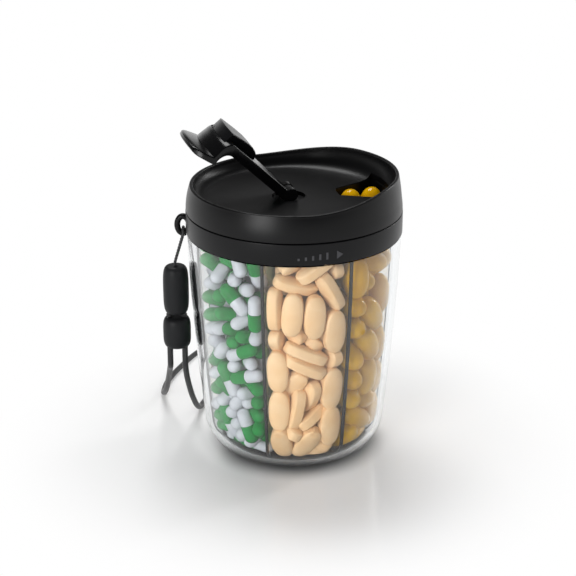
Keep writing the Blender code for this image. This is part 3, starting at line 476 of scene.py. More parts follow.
def srgb(code):
    """The linear colour of an sRGB hex value."""
    channels = [int(code[i : i + 2], 16) / 255 for i in (1, 3, 5)]
    linear = [c / 12.92 if c <= 0.04045 else ((c + 0.055) / 1.055) ** 2.4 for c in channels]
    return (*linear, 1.0)


def add_node(tree, kind, inputs=None, **settings):
    """Adds a node. Each of its inputs is given a value, or another node's output to link."""
    node = tree.nodes.new(kind)
    for name, value in settings.items():
        setattr(node, name, value)
    for name, value in (inputs or {}).items():
        if isinstance(value, bpy.types.NodeSocket):
            tree.links.new(value, node.inputs[name])
        else:
            node.inputs[name].default_value = value
    return node


def new_material(name, **sockets):
    """A material with one Principled shader, its tree and its place coordinates."""
    material = bpy.data.materials.new(name)
    material.use_nodes = True
    tree = material.node_tree
    shader = tree.nodes["Principled BSDF"]
    for socket, value in sockets.items():
        shader.inputs[socket.replace("_", " ")].default_value = value
    place = add_node(tree, "ShaderNodeTexCoord").outputs["Object"]
    return material, tree, shader, place


def textured(look, grain, detail, relief=None, roughness=None, tint=None):
    """Lets one noise, its grain in millimetres, drive a material's relief, roughness or colour."""
    material, tree, shader, place = look
    noise = add_node(tree, "ShaderNodeTexNoise", {"Vector": place, "Scale": 1 / (grain * MM), "Detail": detail})
    amount = noise.outputs["Fac"]
    if relief:
        strength, depth = relief
        bump = add_node(tree, "ShaderNodeBump", {"Height": amount, "Strength": strength, "Distance": depth * MM})
        tree.links.new(bump.outputs["Normal"], shader.inputs["Normal"])
    if roughness:
        low, high = roughness
        level = add_node(tree, "ShaderNodeMapRange", {"Value": amount, "To Min": low, "To Max": high})
        tree.links.new(level.outputs["Result"], shader.inputs["Roughness"])
    if tint:
        mix = add_node(tree, "ShaderNodeMix", {"Factor": amount}, data_type="RGBA")
        mix.inputs["A"].default_value, mix.inputs["B"].default_value = srgb(tint[0]), srgb(tint[1])
        tree.links.new(mix.outputs["Result"], shader.inputs["Base Color"])
    return material


def moulded_abs(name, code, roughness):
    """Black ABS from a spark-eroded mould: a satin skin whose fine grain softens each highlight."""
    look = new_material(name, Base_Color=srgb(code), IOR=1.53, Specular_IOR_Level=0.2)
    textured(look, 0.4, 3.0, relief=(0.25, 0.02))
    return textured(look, 9, 2.0, roughness=(roughness - 0.05, roughness + 0.05))


def clear_acrylic(name, code, ripple_mm):
    """Polished injection-moulded acrylic: clear and glossy, with faint flow ripples."""
    look = new_material(name, Base_Color=srgb(code), Transmission_Weight=1.0, IOR=1.49, Specular_IOR_Level=0.1)
    return textured(look, 14, 1.0, relief=(0.3, ripple_mm), roughness=(0.0, 0.03))


def soft_rubber(name, code, roughness):
    """Moulded rubber: a dull skin with a dusty, uneven sheen."""
    look = new_material(name, Base_Color=srgb(code), IOR=1.52, Specular_IOR_Level=0.2)
    textured(look, 0.5, 4.0, relief=(0.4, 0.03))
    return textured(look, 5, 2.0, roughness=(roughness - 0.08, roughness + 0.08))


def woven_nylon(name, code):
    """Braided nylon: black with a dry sheen, lighter where the strands cross."""
    look = new_material(name, Base_Color=srgb(code), IOR=1.53, Sheen_Weight=0.3, Sheen_Roughness=0.4)
    return textured(look, 0.3, 3.0, roughness=(0.55, 0.8), tint=(code, "#2e2e30"))


def wear(obj, *materials):
    obj.data.materials.clear()
    for material in materials:
        obj.data.materials.append(material)
    return obj


def cup_side(height):
    foot = heel_top()
    low = CUP_FOOT_RADIUS + CUP_HEEL_RADIUS * math.sin(CUP_HEEL_SWEEP)
    share = min(1.0, max(0.0, (height - foot) / (CUP_HEIGHT - foot)))
    return low + (CUP_RADIUS - low) * (1 - (1 - share) ** CUP_FLARE_SHARE)


def heel_top():
    return CUP_HEEL_RADIUS * (1 - math.sin(math.pi / 2 - CUP_HEEL_SWEEP))


def cup_bore(height, inset=0.0):
    """The cup's inner radius at a height, less an inset for what stands inside it."""
    if height >= heel_top():
        share = (height - heel_top()) / (CUP_HEIGHT - heel_top())
        wall = CUP_WALL + (CUP_TOP_WALL - CUP_WALL) * min(1.0, share)
        return cup_side(min(height, CUP_HEIGHT)) - wall - inset
    heel = CUP_HEEL_RADIUS - CUP_WALL - inset
    drop = min(heel, CUP_HEEL_RADIUS - height)
    return CUP_FOOT_RADIUS + math.sqrt(max(0.0, heel**2 - drop**2))


def make_cup():
    heel_end = CUP_HEEL_SWEEP - math.radians(90)
    levels = [heel_top() + (CUP_HEIGHT - heel_top()) * i / 24 for i in range(25)]
    outer_heel = arc(
        CUP_FOOT_RADIUS, CUP_HEEL_RADIUS, CUP_HEEL_RADIUS, CUP_HEEL_RADIUS, heel_end, math.radians(-90), 24
    )
    inner = CUP_HEEL_RADIUS - CUP_WALL
    inner_heel = arc(CUP_FOOT_RADIUS, CUP_HEEL_RADIUS, inner, inner, math.radians(-90), heel_end, 24)
    bore = cup_bore(CUP_HEIGHT)
    lip = NECK_TOP - NECK_ROUND
    outline = [
        (bore, lip),
        (bore + NECK_ROUND, NECK_TOP),
        (NECK_RADIUS - NECK_ROUND, NECK_TOP),
        (NECK_RADIUS, lip),
        (NECK_RADIUS, CUP_HEIGHT),
        *[(cup_side(z), z) for z in reversed(levels)],
        *outer_heel[1:],
        (0.0, 0.0),
        (0.0, CUP_WALL),
        *inner_heel[:-1],
        *[(cup_bore(z), z) for z in levels],
    ]
    cup = turned("cup", outline, 192)
    beads = []
    for start in range(THREAD_STARTS):
        points = []
        for i in range(25):
            turn = THREAD_SWEEP * i / 24
            angle = math.tau * start / THREAD_STARTS + turn
            height = THREAD_FOOT + THREAD_LEAD * turn / math.tau
            points.append((THREAD_RADIUS * math.cos(angle), THREAD_RADIUS * math.sin(angle), height))
        beads.append(tube(f"thread_{start}", points, THREAD_BEAD_RADIUS))
    cup = smooth(combined(cup, beads, "UNION"))
    wear(cup, clear_acrylic("clear acrylic cup", "#f8fafb", 0.02))
    cup.visible_shadow = False
    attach(cup, "cup")
    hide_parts("cup_shell")


def make_cords():
    """The braided loop, the thin tie and what they hold."""
    nylon = woven_nylon("braided nylon cord", "#111112")
    route = smooth_route(LOOP_ROUTE, 0.3 * MM)
    pitch = math.tau / (2.6 * MM)

    def braid(walked, angle):
        over = abs(math.sin(3 * angle + pitch * walked))
        under = abs(math.sin(3 * angle - pitch * walked))
        return CORD_RADIUS * (0.93 + 0.07 * max(over, under))

    loop = wear(swept("cord_loop", route, 24, braid), nylon)
    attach(loop, "collar")
    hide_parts("lanyard_loop")
    mirrored = [(x, -y, z) for x, y, z in reversed(TIE_HALF_ROUTE[:-1])]
    tie_route = smooth_route(TIE_HALF_ROUTE + mirrored, 0.2 * MM)
    twist = math.tau / (2.4 * MM)

    def plies(walked, angle):
        return TIE_RADIUS * (0.7 + 0.3 * abs(math.cos(angle - twist * walked)))

    tie = wear(swept("thread_tie", tie_route, 16, plies), woven_nylon("twisted thread", "#1c1c1e"))
    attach(tie, "collar")
    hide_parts("lanyard_tie")
    rubber = soft_rubber("moulded bead rubber", "#18191b", 0.5)
    bead = wear(smooth(barrel("bead", BEAD_RADIUS, BEAD_HEIGHT, BEAD_MIDDLE)), rubber)
    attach(bead, "collar")
    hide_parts("lanyard_bead")
    slider = barrel("slider", SLIDER_RADIUS, SLIDER_HEIGHT, SLIDER_MIDDLE)
    bores = []
    for side in (-1, 1):
        x = LANYARD_X + side * CORD_SPACING / 2
        ends = [(x, 0.0, SLIDER_MIDDLE - SLIDER_HEIGHT), (x, 0.0, SLIDER_MIDDLE + SLIDER_HEIGHT)]
        bores.append(tube(f"bore_{side}", ends, CORD_RADIUS + 0.3 * MM))
    slider = wear(smooth(combined(slider, bores, "DIFFERENCE")), rubber)
    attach(slider, "slider")
    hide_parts("lanyard_slider")


def barrel(name, radius, height, middle):
    """A barrel with well-rounded ends, about the lanyard's line."""
    outline = []
    for i in range(33):
        angle = math.radians(90) - math.pi * i / 32
        across = math.copysign(abs(math.cos(angle)) ** 0.3, math.cos(angle))
        up = math.copysign(abs(math.sin(angle)) ** 0.55, math.sin(angle))
        outline.append((max(0.0, radius * across) if 0 < i < 32 else 0.0, height / 2 * up))
    obj = turned(name, outline, 64, closed=False)
    obj.data.transform(Matrix.Translation((LANYARD_X, 0.0, middle)))
    return obj


def port_outline(outset=0.0):
    """A blunt sector about +X with a rounded inner end. Its sides run straight to the outer arc."""
    reach = PORT_OUTER_RADIUS * math.sin(PORT_HALF_ANGLE) + outset
    far = PORT_OUTER_RADIUS + outset
    swing = math.asin(reach / far)
    spread = PORT_INNER_HALF_WIDTH + outset
    near = PORT_INNER_RADIUS - outset
    corner = PORT_CORNER
    low = arc(near + corner, -spread + corner, corner, corner, math.radians(-100), math.radians(-180), 6)
    high = [(x, -y) for x, y in reversed(low)]
    return [*low[::-1], *arc(0.0, 0.0, far, far, -swing, swing, 24), *high[::-1]]


def prism(name, outline, bottom, top, flare=0.0):
    """A closed solid between two heights over a flat outline, opened by a flare at its top."""
    shell = bmesh.new()
    centre = Vector((sum(x for x, y in outline), sum(y for x, y in outline))) / len(outline)
    low = [shell.verts.new((x, y, bottom)) for x, y in outline]
    high = []
    for x, y in outline:
        out = (Vector((x, y)) - centre).normalized() * flare
        high.append(shell.verts.new((x + out.x, y + out.y, top)))
    count = len(outline)
    for i in range(count):
        shell.faces.new((low[i], low[(i + 1) % count], high[(i + 1) % count], high[i]))
    shell.faces.new(list(reversed(low)))
    shell.faces.new(high)
    bmesh.ops.recalc_face_normals(shell, faces=shell.faces)
    return mesh_object(name, shell)


def side_plate(name, outline, half_width):
    """A closed solid from an (x, z) outline, as wide on both sides of y = 0."""
    shell = bmesh.new()
    near = [shell.verts.new((x, -half_width, z)) for x, z in outline]
    far = [shell.verts.new((x, half_width, z)) for x, z in outline]
    count = len(outline)
    for i in range(count):
        shell.faces.new((near[i], near[(i + 1) % count], far[(i + 1) % count], far[i]))
    shell.faces.new(list(reversed(near)))
    shell.faces.new(far)
    bmesh.ops.recalc_face_normals(shell, faces=shell.faces)
    return mesh_object(name, shell)


def disc_solid(name, radius, half_length, along="Y", steps=48):
    shell = bmesh.new()
    bmesh.ops.create_cone(
        shell, cap_ends=True, segments=steps, radius1=radius, radius2=radius, depth=2 * half_length
    )
    if along == "Y":
        bmesh.ops.rotate(shell, verts=shell.verts, matrix=Matrix.Rotation(math.radians(90), 3, "X"))
    return mesh_object(name, shell)


def placed(obj, matrix):
    obj.data.transform(matrix)
    return obj


def lid_frame():
    return Matrix.Rotation(LID_TURN, 4, "Z")


def hinge_frame():
    return lid_frame() @ Matrix.Translation((-HINGE_OFFSET, 0.0, PIVOT_HEIGHT))


def rim_rise_share(angle):
    """How high the rim stands at an angle from the port, from 0 to 1."""
    away = abs(math.remainder(angle, math.tau))
    share = (RIM_RISE_OUTER - away) / (RIM_RISE_OUTER - RIM_RISE_INNER)
    share = min(1.0, max(0.0, share))
    return share * share * (3 - 2 * share)


def make_lid():
    """The dial's lid: a dished top inside a rim that rises round the port."""
    wall_height = RIM_TOP - RIM_ROUND - LID_BOTTOM
    wall = []
    for i in range(15):
        share = i / 14
        wall.append((LID_RADIUS - LID_LEAN * share**2, LID_BOTTOM + wall_height * share))
    lower_edge = 0.15 * MM
    dish = arc(
        DISH_RADIUS,
        RIM_TOP - RIM_ROUND,
        RIM_INNER_RADIUS - DISH_RADIUS,
        RIM_TOP - RIM_ROUND - FLOOR_TOP,
        math.radians(-90),
        0.0,
        18,
    )
    inner_round = arc(
        RIM_INNER_RADIUS + RIM_ROUND,
        RIM_TOP - RIM_ROUND,
        RIM_ROUND,
        RIM_ROUND,
        math.radians(180),
        math.radians(90),
        5,
    )
    outer_round = arc(
        RIM_RADIUS - RIM_ROUND, RIM_TOP - RIM_ROUND, RIM_ROUND, RIM_ROUND, math.radians(90), 0.0, 5
    )
    floor = [(DISH_RADIUS * i / 5, FLOOR_TOP) for i in range(5)]
    outline = [
        *floor,
        *dish,
        *inner_round[1:],
        *outer_round,
        *list(reversed(wall))[1:-1],
        (LID_RADIUS, LID_BOTTOM + lower_edge),
        (LID_RADIUS - lower_edge, LID_BOTTOM),
        (LID_BORE, LID_BOTTOM),
        (LID_BORE, LID_CEILING),
        (SKIRT_RADIUS, LID_CEILING),
        (SKIRT_RADIUS, SKIRT_BOTTOM),
        (SKIRT_RADIUS - SKIRT_WALL, SKIRT_BOTTOM),
        (SKIRT_RADIUS - SKIRT_WALL, LID_CEILING),
        (0.0, LID_CEILING),
    ]
    lid = turned("lid", outline, 256, closed=False)
    for vertex in lid.data.vertices:
        x, y, z = vertex.co
        share = (z - FLOOR_TOP) / (RIM_TOP - FLOOR_TOP)
        reach = math.hypot(x, y)
        high = rim_rise_share(math.atan2(y, x))
        if share > 0:
            vertex.co.z += RIM_RISE * high * share
        if z > FLOOR_TOP - 0.01 * MM and DISH_RADIUS * 0.75 < reach < RIM_INNER_RADIUS:
            depth = max(0.0, (RIM_INNER_RADIUS - reach) / (RIM_INNER_RADIUS - DISH_RADIUS))
            spread = DISH_SPREAD * high * min(1.0, depth)
            vertex.co.x *= (reach - spread) / reach
            vertex.co.y *= (reach - spread) / reach
    chute = prism(
        "chute",
        port_outline(CHUTE_WALL),
        SKIRT_BOTTOM,
        LID_CEILING + 0.5 * MM,
    )
    cup = disc_solid("well_cup", WELL_RADIUS + 1.4 * MM, 1.0 * MM, "Z", 96)
    placed(cup, Matrix.Translation((-HINGE_OFFSET, 0.0, LID_CEILING - 0.3 * MM)))
    lid = combined(lid, [chute, cup], "UNION")
    port = port_outline()
    mouth = prism("mouth", port, DISC_BOTTOM - OVERRUN, RIM_TOP + RIM_RISE + OVERRUN)
    flare = prism("flare", port, FLOOR_TOP - 0.35 * MM, FLOOR_TOP + 0.35 * MM, 0.7 * MM)
    well = disc_solid("well", WELL_RADIUS, (WELL_DEPTH + OVERRUN) / 2, "Z", 96)
    placed(well, Matrix.Translation((-HINGE_OFFSET, 0.0, FLOOR_TOP - WELL_DEPTH + (WELL_DEPTH + OVERRUN) / 2)))
    lid = combined(lid, [mouth, flare, well], "DIFFERENCE")
    foot = FLOOR_TOP - WELL_DEPTH - 0.4 * MM - PIVOT_HEIGHT
    top = arc(0.0, 0.0, BOSS_RADIUS, BOSS_RADIUS, 0.0, math.pi, 20)
    boss = side_plate("boss", [(BOSS_RADIUS, foot), *top, (-BOSS_RADIUS, foot)], BOSS_HALF_WIDTH)
    placed(boss, Matrix.Translation((-HINGE_OFFSET, 0.0, PIVOT_HEIGHT)))
    lid = combined(lid, [boss], "UNION")
    bore = disc_solid("boss_bore", PIN_RADIUS + PIN_CLEARANCE, BOSS_HALF_WIDTH + OVERRUN)
    placed(bore, Matrix.Translation((-HINGE_OFFSET, 0.0, PIVOT_HEIGHT)))
    lid = combined(lid, [bore], "DIFFERENCE")
    smooth(placed(lid, lid_frame()), math.radians(32))
    wear(lid, moulded_abs("spark-eroded ABS lid", "#060607", 0.34))
    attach(lid, "dial")
    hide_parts("lid_top")
    outline = [(0.0, DISC_TOP), (SKIRT_RADIUS, DISC_TOP), (SKIRT_RADIUS, DISC_BOTTOM), (0.0, DISC_BOTTOM)]
    disc = turned("under_disc", outline, 128, closed=False)
    mouth = prism("disc_mouth", port, DISC_BOTTOM - OVERRUN, DISC_TOP + OVERRUN)
    disc = smooth(placed(combined(disc, [mouth], "DIFFERENCE"), lid_frame()))
    wear(disc, moulded_abs("moulded ABS disc", "#0d0d0e", 0.42))
    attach(disc, "dial")
    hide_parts("lid_under_disc")


def make_collar():
    """The screw collar, with its spigot, thread, the lanyard's eye and a plain opening mark."""
    rim, quarter = COLLAR_RADIUS - COLLAR_EDGE, math.radians(90)
    edge = arc(rim, COLLAR_TOP - COLLAR_EDGE, COLLAR_EDGE, COLLAR_EDGE, quarter, 0.0, 5)
    low_edge = arc(rim, COLLAR_BOTTOM + COLLAR_EDGE, COLLAR_EDGE, COLLAR_EDGE, 0.0, -quarter, 5)
    outline = [
        (NECK_BORE, SPIGOT_TOP),
        (SPIGOT_RADIUS + SPIGOT_LIP, SPIGOT_TOP),
        (SPIGOT_RADIUS + SPIGOT_LIP, SPIGOT_LIP_BOTTOM),
        (SPIGOT_RADIUS, SPIGOT_LIP_BOTTOM),
        (SPIGOT_RADIUS, COLLAR_TOP),
        *edge,
        *low_edge,
        (COLLAR_BORE, COLLAR_BOTTOM),
        (COLLAR_BORE, DECK_BOTTOM),
        (NECK_BORE, DECK_BOTTOM),
    ]
    collar = turned("collar", outline, 256)
    beads = []
    for start in range(THREAD_STARTS):
        points = []
        for i in range(25):
            turn = THREAD_SWEEP * i / 24
            angle = math.tau * start / THREAD_STARTS + math.pi / THREAD_STARTS + turn
            height = THREAD_FOOT + THREAD_LEAD * turn / math.tau
            radius = NECK_RADIUS + DIVIDER_GAP + THREAD_BEAD_RADIUS
            points.append((radius * math.cos(angle), radius * math.sin(angle), height))
        beads.append(tube(f"collar_thread_{start}", points, THREAD_BEAD_RADIUS))
    shell = bmesh.new()
    rings = []
    for i in range(64):
        turn = math.tau * i / 64
        middle = EYE_PLACE + Vector((EYE_HALF_WIDTH * math.cos(turn), 0.0, EYE_HALF_HEIGHT * math.sin(turn)))
        out = Vector((EYE_HALF_HEIGHT * math.cos(turn), 0.0, EYE_HALF_WIDTH * math.sin(turn))).normalized()
        ring = []
        for k in range(20):
            angle = math.tau * k / 20
            reach = out * math.cos(angle) + Vector((0.0, 1.0, 0.0)) * math.sin(angle)
            ring.append(shell.verts.new(middle + EYE_ROD_RADIUS * reach))
        rings.append(ring)
    for i in range(64):
        ring, after = rings[i], rings[(i + 1) % 64]
        for k in range(20):
            shell.faces.new((ring[k], ring[(k + 1) % 20], after[(k + 1) % 20], after[k]))
    bmesh.ops.recalc_face_normals(shell, faces=shell.faces)
    eye = mesh_object("eye", shell)
    trim = placed(
        disc_solid("eye_trim", CUP_RADIUS + DIVIDER_GAP, COLLAR_TOP / 2, "Z", 192),
        Matrix.Translation((0.0, 0.0, COLLAR_BOTTOM + COLLAR_EDGE - COLLAR_TOP / 2)),
    )
    inner = placed(
        disc_solid("eye_bore", (COLLAR_BORE + COLLAR_RADIUS) / 2, COLLAR_TOP / 2, "Z", 192),
        Matrix.Translation((0.0, 0.0, COLLAR_TOP)),
    )
    eye = combined(eye, [trim, inner], "DIFFERENCE")
    collar = smooth(combined(collar, [*beads, eye], "UNION"))
    look = moulded_abs("spark-eroded ABS collar", "#08080a", 0.34)
    wear(collar, look)
    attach(collar, "collar")
    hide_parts("collar_ring")
    mark = wear(make_mark(), moulded_abs("raised ABS mark", "#48484b", 0.55))
    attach(mark, "collar")


def make_mark():
    """A plain rising scale of bars and an arrow, raised a little on the collar's face."""
    shapes = []
    for i in range(5):
        middle = MARK_START + MARK_STEP * i
        tall = MARK_BAR_FIRST + MARK_BAR_GROWTH * i
        foot = -MARK_BAR_TALLEST / 2
        half = MARK_BAR_WIDTH / 2
        left, right, top = middle - half, middle + half, foot + tall
        shapes.append([(left, foot), (right, foot), (right, top), (left, top)])
    left = MARK_ARROW - MARK_ARROW_LENGTH / 2
    shapes.append([(left, -MARK_ARROW_HALF), (left + MARK_ARROW_LENGTH, 0.0), (left, MARK_ARROW_HALF)])
    shell = bmesh.new()
    for shape in shapes:
        layers = []
        for radius in (COLLAR_RADIUS - MARK_DEPTH, COLLAR_RADIUS + MARK_RAISE):
            layer = []
            for along, up in shape:
                turn = along / COLLAR_RADIUS
                place = (radius * math.sin(turn), -radius * math.cos(turn), MARK_HEIGHT + up)
                layer.append(shell.verts.new(place))
            layers.append(layer)
        count = len(shape)
        for i in range(count):
            after = (i + 1) % count
            shell.faces.new((layers[0][i], layers[0][after], layers[1][after], layers[1][i]))
        shell.faces.new(list(reversed(layers[0])))
        shell.faces.new(layers[1])
    bmesh.ops.recalc_face_normals(shell, faces=shell.faces)
    return mesh_object("opening_mark", shell)


def bowed(x, y):
    """Bows a straight line across the lever to run concentric with the dial."""
    share = min(1.0, max(0.0, (x - BOW_START) / (BOW_RADIUS - BOW_START)))
    return x - share * (BOW_RADIUS - math.sqrt(BOW_RADIUS**2 - y**2))


def band(name, stations, corner, across=28, bends=3):
    """A bowed band with rounded edges. Each station is its lower and upper (x, z) and half width."""
    shell = bmesh.new()
    rings = []
    for (low_x, low_z), (high_x, high_z), half in stations:
        low = Vector((low_x, 0.0, low_z))
        thick = Vector((high_x - low_x, 0.0, high_z - low_z))
        height = thick.length
        up = thick.normalized()
        r = min(corner, 0.48 * height)
        flat = half - r
        profile = [(-flat + 2 * flat * j / across, 0.0) for j in range(across + 1)]
        turns = [math.radians(90) * i / bends for i in range(bends + 1)]
        profile += [(flat + r * math.sin(t), r - r * math.cos(t)) for t in turns[1:]]
        profile += [(flat + r * math.cos(t), height - r + r * math.sin(t)) for t in turns]
        profile += [(flat - 2 * flat * j / across, height) for j in range(1, across + 1)]
        profile += [(-flat - r * math.sin(t), height - r + r * math.cos(t)) for t in turns[1:]]
        profile += [(-flat - r * math.cos(t), r - r * math.sin(t)) for t in turns[:-1]]
        ring = []
        for y, rise in profile:
            place = low + up * rise
            ring.append(shell.verts.new((bowed(place.x, y), y, place.z)))
        rings.append(ring)
    count = len(rings[0])
    for ring, after in zip(rings, rings[1:]):
        for k in range(count):
            shell.faces.new((ring[k], ring[(k + 1) % count], after[(k + 1) % count], after[k]))
    first_top = across + 1 + 2 * bends
    for ring in (rings[0], rings[-1]):
        for j in range(across):
            top = first_top + across - j
            shell.faces.new((ring[j], ring[j + 1], ring[top - 1], ring[top]))
        shell.faces.new(ring[across : first_top + 1])
        shell.faces.new([*ring[first_top + across :], ring[0]])
    bmesh.ops.recalc_face_normals(shell, faces=shell.faces)
    return mesh_object(name, shell)


def arm_half_width(x):
    share = min(1.0, max(0.0, (x - ARM_NECK) / (ARM_END - ARM_NECK)))
    return KNUCKLE_HALF_WIDTH + (ARM_END_HALF_WIDTH - KNUCKLE_HALF_WIDTH) * share


def make_lever():
    """The flip lever: a widening arm that turns up the dish's wall and out over the rim as a tab."""
    stations = []
    for i in range(15):
        share = i / 14
        x = BEND_LOW_X * share
        stations.append(((x, ARM_LOW), (BEND_HIGH_X * share, ARM_HIGH), arm_half_width(x)))
    for i in range(1, 11):
        turn = math.radians(-90) + math.radians(90) * i / 10
        low = (BEND_LOW_X + BEND_LOW_R * math.cos(turn), ARM_LOW + BEND_LOW_R * (1 + math.sin(turn)))
        high = (BEND_HIGH_X + BEND_HIGH_R * math.cos(turn), ARM_HIGH + BEND_HIGH_R * (1 + math.sin(turn)))
        stations.append((low, high, arm_half_width(low[0])))
    for low, high, half in TAB_STATIONS:
        stations.append((low, high, half))
    lever = band("lever", stations, 0.45 * MM)
    knuckle = disc_solid("knuckle", KNUCKLE_RADIUS, KNUCKLE_HALF_WIDTH)
    lever = combined(lever, [knuckle], "UNION")
    slot = side_plate(
        "fork_slot",
        [
            (-KNUCKLE_RADIUS - OVERRUN, -OVERRUN),
            (FORK_LENGTH, -OVERRUN),
            (FORK_LENGTH, 2 * OVERRUN),
            (-KNUCKLE_RADIUS - OVERRUN, 2 * OVERRUN),
        ],
        BOSS_HALF_WIDTH + FORK_GAP,
    )
    bore = disc_solid("lever_bore", PIN_RADIUS + PIN_CLEARANCE, PIN_HALF_LENGTH + PIN_CLEARANCE)
    bed = band("stopper_bed", stopper_stations(BED_GAP, ARM_LOW - 2 * MM), 0.3 * MM)
    lever = combined(lever, [slot, bore, bed], "DIFFERENCE")
    open_place = hinge_frame() @ Matrix.Rotation(-LEVER_OPEN, 4, "Y")
    smooth(placed(lever, open_place), math.radians(32))
    wear(lever, moulded_abs("polished ABS lever", "#060607", 0.22))
    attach(lever, "lever")
    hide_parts("flip_lever")
    stopper = band("stopper", stopper_stations(0.0, None), 0.5 * MM)
    notch = side_plate("notch", NOTCH_OUTLINE, NOTCH_HALF_WIDTH)
    placed(notch, Matrix.Translation((0.0, NOTCH_ACROSS, 0.0)))
    stopper = combined(stopper, [notch], "DIFFERENCE")
    smooth(placed(stopper, open_place), math.radians(32))
    wear(stopper, moulded_abs("soft-touch plug", "#08080a", 0.3))
    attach(stopper, "lever")
    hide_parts("stopper_seal")


def stopper_stations(grow, low):
    """The plug's stations from tip to outer wall, grown by a gap and cut flat where low is given."""
    stations = []
    for x, low_z, high_x, high_z, half in STOPPER_SHAPE:
        shift = -grow if x < STOPPER_MIDDLE else grow
        bottom = low_z if low is None else low
        stations.append(((x + shift, bottom), (high_x + shift, high_z + grow), half + grow))
    return stations


def make_hub():
    """The divider's base disc and post."""
    heel = CUP_HEEL_RADIUS - CUP_WALL - DIVIDER_GAP
    start = -math.asin((CUP_HEEL_RADIUS - HUB_BOTTOM) / heel)
    end = -math.asin((CUP_HEEL_RADIUS - HUB_PLATE_TOP) / heel)
    curve = arc(CUP_FOOT_RADIUS, CUP_HEEL_RADIUS, heel, heel, start, end, 8)
    outline = [
        (0.0, DIVIDER_TOP),
        (HUB_RADIUS, DIVIDER_TOP),
        (HUB_RADIUS, HUB_PLATE_TOP),
        *reversed(curve),
        (0.0, HUB_BOTTOM),
    ]
    hub = smooth(turned("divider_base", outline, 128, closed=False))
    wear(hub, moulded_abs("moulded ABS base", "#101011", 0.4))
    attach(hub, "cup")
    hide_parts("divider_hub")


def make_vanes():
    """Clear vanes with a thin dark edging where they meet the cup's wall."""
    rubber = soft_rubber("soft edging", "#0b0b0c", 0.45)
    clear = clear_acrylic("clear acrylic vane", "#f4f6f7", 0.01)
    foot = HUB_PLATE_TOP + DIVIDER_GAP
    levels = [foot + (DIVIDER_TOP - foot) * (i / 40) ** 1.6 for i in range(41)]
    inner_line = EDGING_DEPTH + 2 * DIVIDER_GAP
    for number in range(COMPARTMENTS):
        azimuth = FRONT_COMPARTMENT + math.tau * (number + 0.5) / COMPARTMENTS
        turn = Matrix.Rotation(azimuth, 4, "Z")
        outer = [(cup_bore(z, inner_line), z) for z in levels]
        post = HUB_RADIUS + DIVIDER_GAP
        outline = [(post, foot), *outer, (post, DIVIDER_TOP)]
        vane = placed(side_plate(f"vane_{number + 1}", outline, VANE_THICKNESS / 2), turn)
        wear(smooth(vane), clear)
        vane.visible_shadow = False
        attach(vane, "cup")
        strip = [(cup_bore(z, DIVIDER_GAP + EDGING_DEPTH), z) for z in levels]
        strip += [(cup_bore(z, DIVIDER_GAP), z) for z in reversed(levels)]
        edging = placed(side_plate(f"edging_{number + 1}", strip, EDGING_WIDTH / 2), turn)
        wear(smooth(edging), rubber)
        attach(edging, "cup")
        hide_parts(f"divider_vane_{number + 1}")
        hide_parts(f"divider_edge_{number + 1}")


def steel_wire(name):
    """Drawn steel wire: bright metal with fine marks along its length."""
    material, tree, shader, place = new_material(name, Base_Color=srgb("#a9aaac"), Metallic=1.0)
    stretched = add_node(tree, "ShaderNodeMapping", {"Vector": place, "Scale": (1.0, 0.05, 1.0)})
    marks = add_node(tree, "ShaderNodeTexNoise", {"Vector": stretched.outputs["Vector"], "Scale": 1 / (0.2 * MM)})
    rough = add_node(
        tree, "ShaderNodeMapRange", {"Value": marks.outputs["Fac"], "To Min": 0.2, "To Max": 0.35}
    )
    tree.links.new(rough.outputs["Result"], shader.inputs["Roughness"])
    return material


def wall_hit(x, y, inset):
    """Where the line of sight through a pixel meets the cup's inner wall, less an inset, in millimetres."""
    view = bpy.context.scene.camera.matrix_world
    half = FRAME_PIXELS / 2
    sight = view.to_3x3() @ Vector((x - half, half - y, -FRAME_PIXELS * CAMERA_LENS / CAMERA_SENSOR))
    sight.normalize()
    walked = CAMERA_DISTANCE - 2 * CUP_RADIUS
    place = view.translation + walked * sight
    while math.hypot(place.x, place.y) > cup_bore(place.z, inset * MM) and walked < CAMERA_DISTANCE:
        walked += 0.2 * MM
        place = view.translation + walked * sight
    return np.array(place) / MM


def front_pills():
    """The pills that the photo shows, each as its kind, middle, long axis and across axis."""
    pills = []

    def add(kind, first, second, broad, turn):
        middle = (first + second) / 2
        axis = first - second
        shown = np.linalg.norm(axis) / 2
        axis /= 2 * shown
        out = np.array((middle[0], middle[1], 0.0))
        out /= np.linalg.norm(out)
        hidden = math.sqrt(max(0.0, 1 - min(1.0, shown / PILL_HALF_LENGTH[kind]) ** 2))
        middle = middle - out * hidden * PILL_HALF_LENGTH[kind] * 0.5
        axis = axis + turn * hidden * out
        axis /= np.linalg.norm(axis)
        side = np.cross(out, axis) if broad else out - axis * (out @ axis)
        pills.append((kind, middle, axis, side / np.linalg.norm(side)))

    for i, (x1, y1, x2, y2) in enumerate(CAPSULE_MARKS):
        add("capsule", wall_hit(x1, y1, 3.0), wall_hit(x2, y2, 3.0), True, 1 - 2 * (i % 2))
    for i, (x, y, tall, lean) in enumerate(SOFTGEL_MARKS):
        along = 0.5 * tall * math.sin(math.radians(lean))
        up = 0.5 * tall * math.cos(math.radians(lean))
        add("softgel", wall_hit(x + along, y - up, 4.9), wall_hit(x - along, y + up, 4.9), True, 1 - 2 * (i % 2))
    for x, y, lean, broad in TABLET_MARKS:
        along = TABLET_REACH * math.sin(math.radians(lean))
        up = TABLET_REACH * math.cos(math.radians(lean))
        inset = 3.0 if broad else 4.3
        add("tablet", wall_hit(x + along, y - up, inset), wall_hit(x - along, y + up, inset), broad, 0)
    return pills


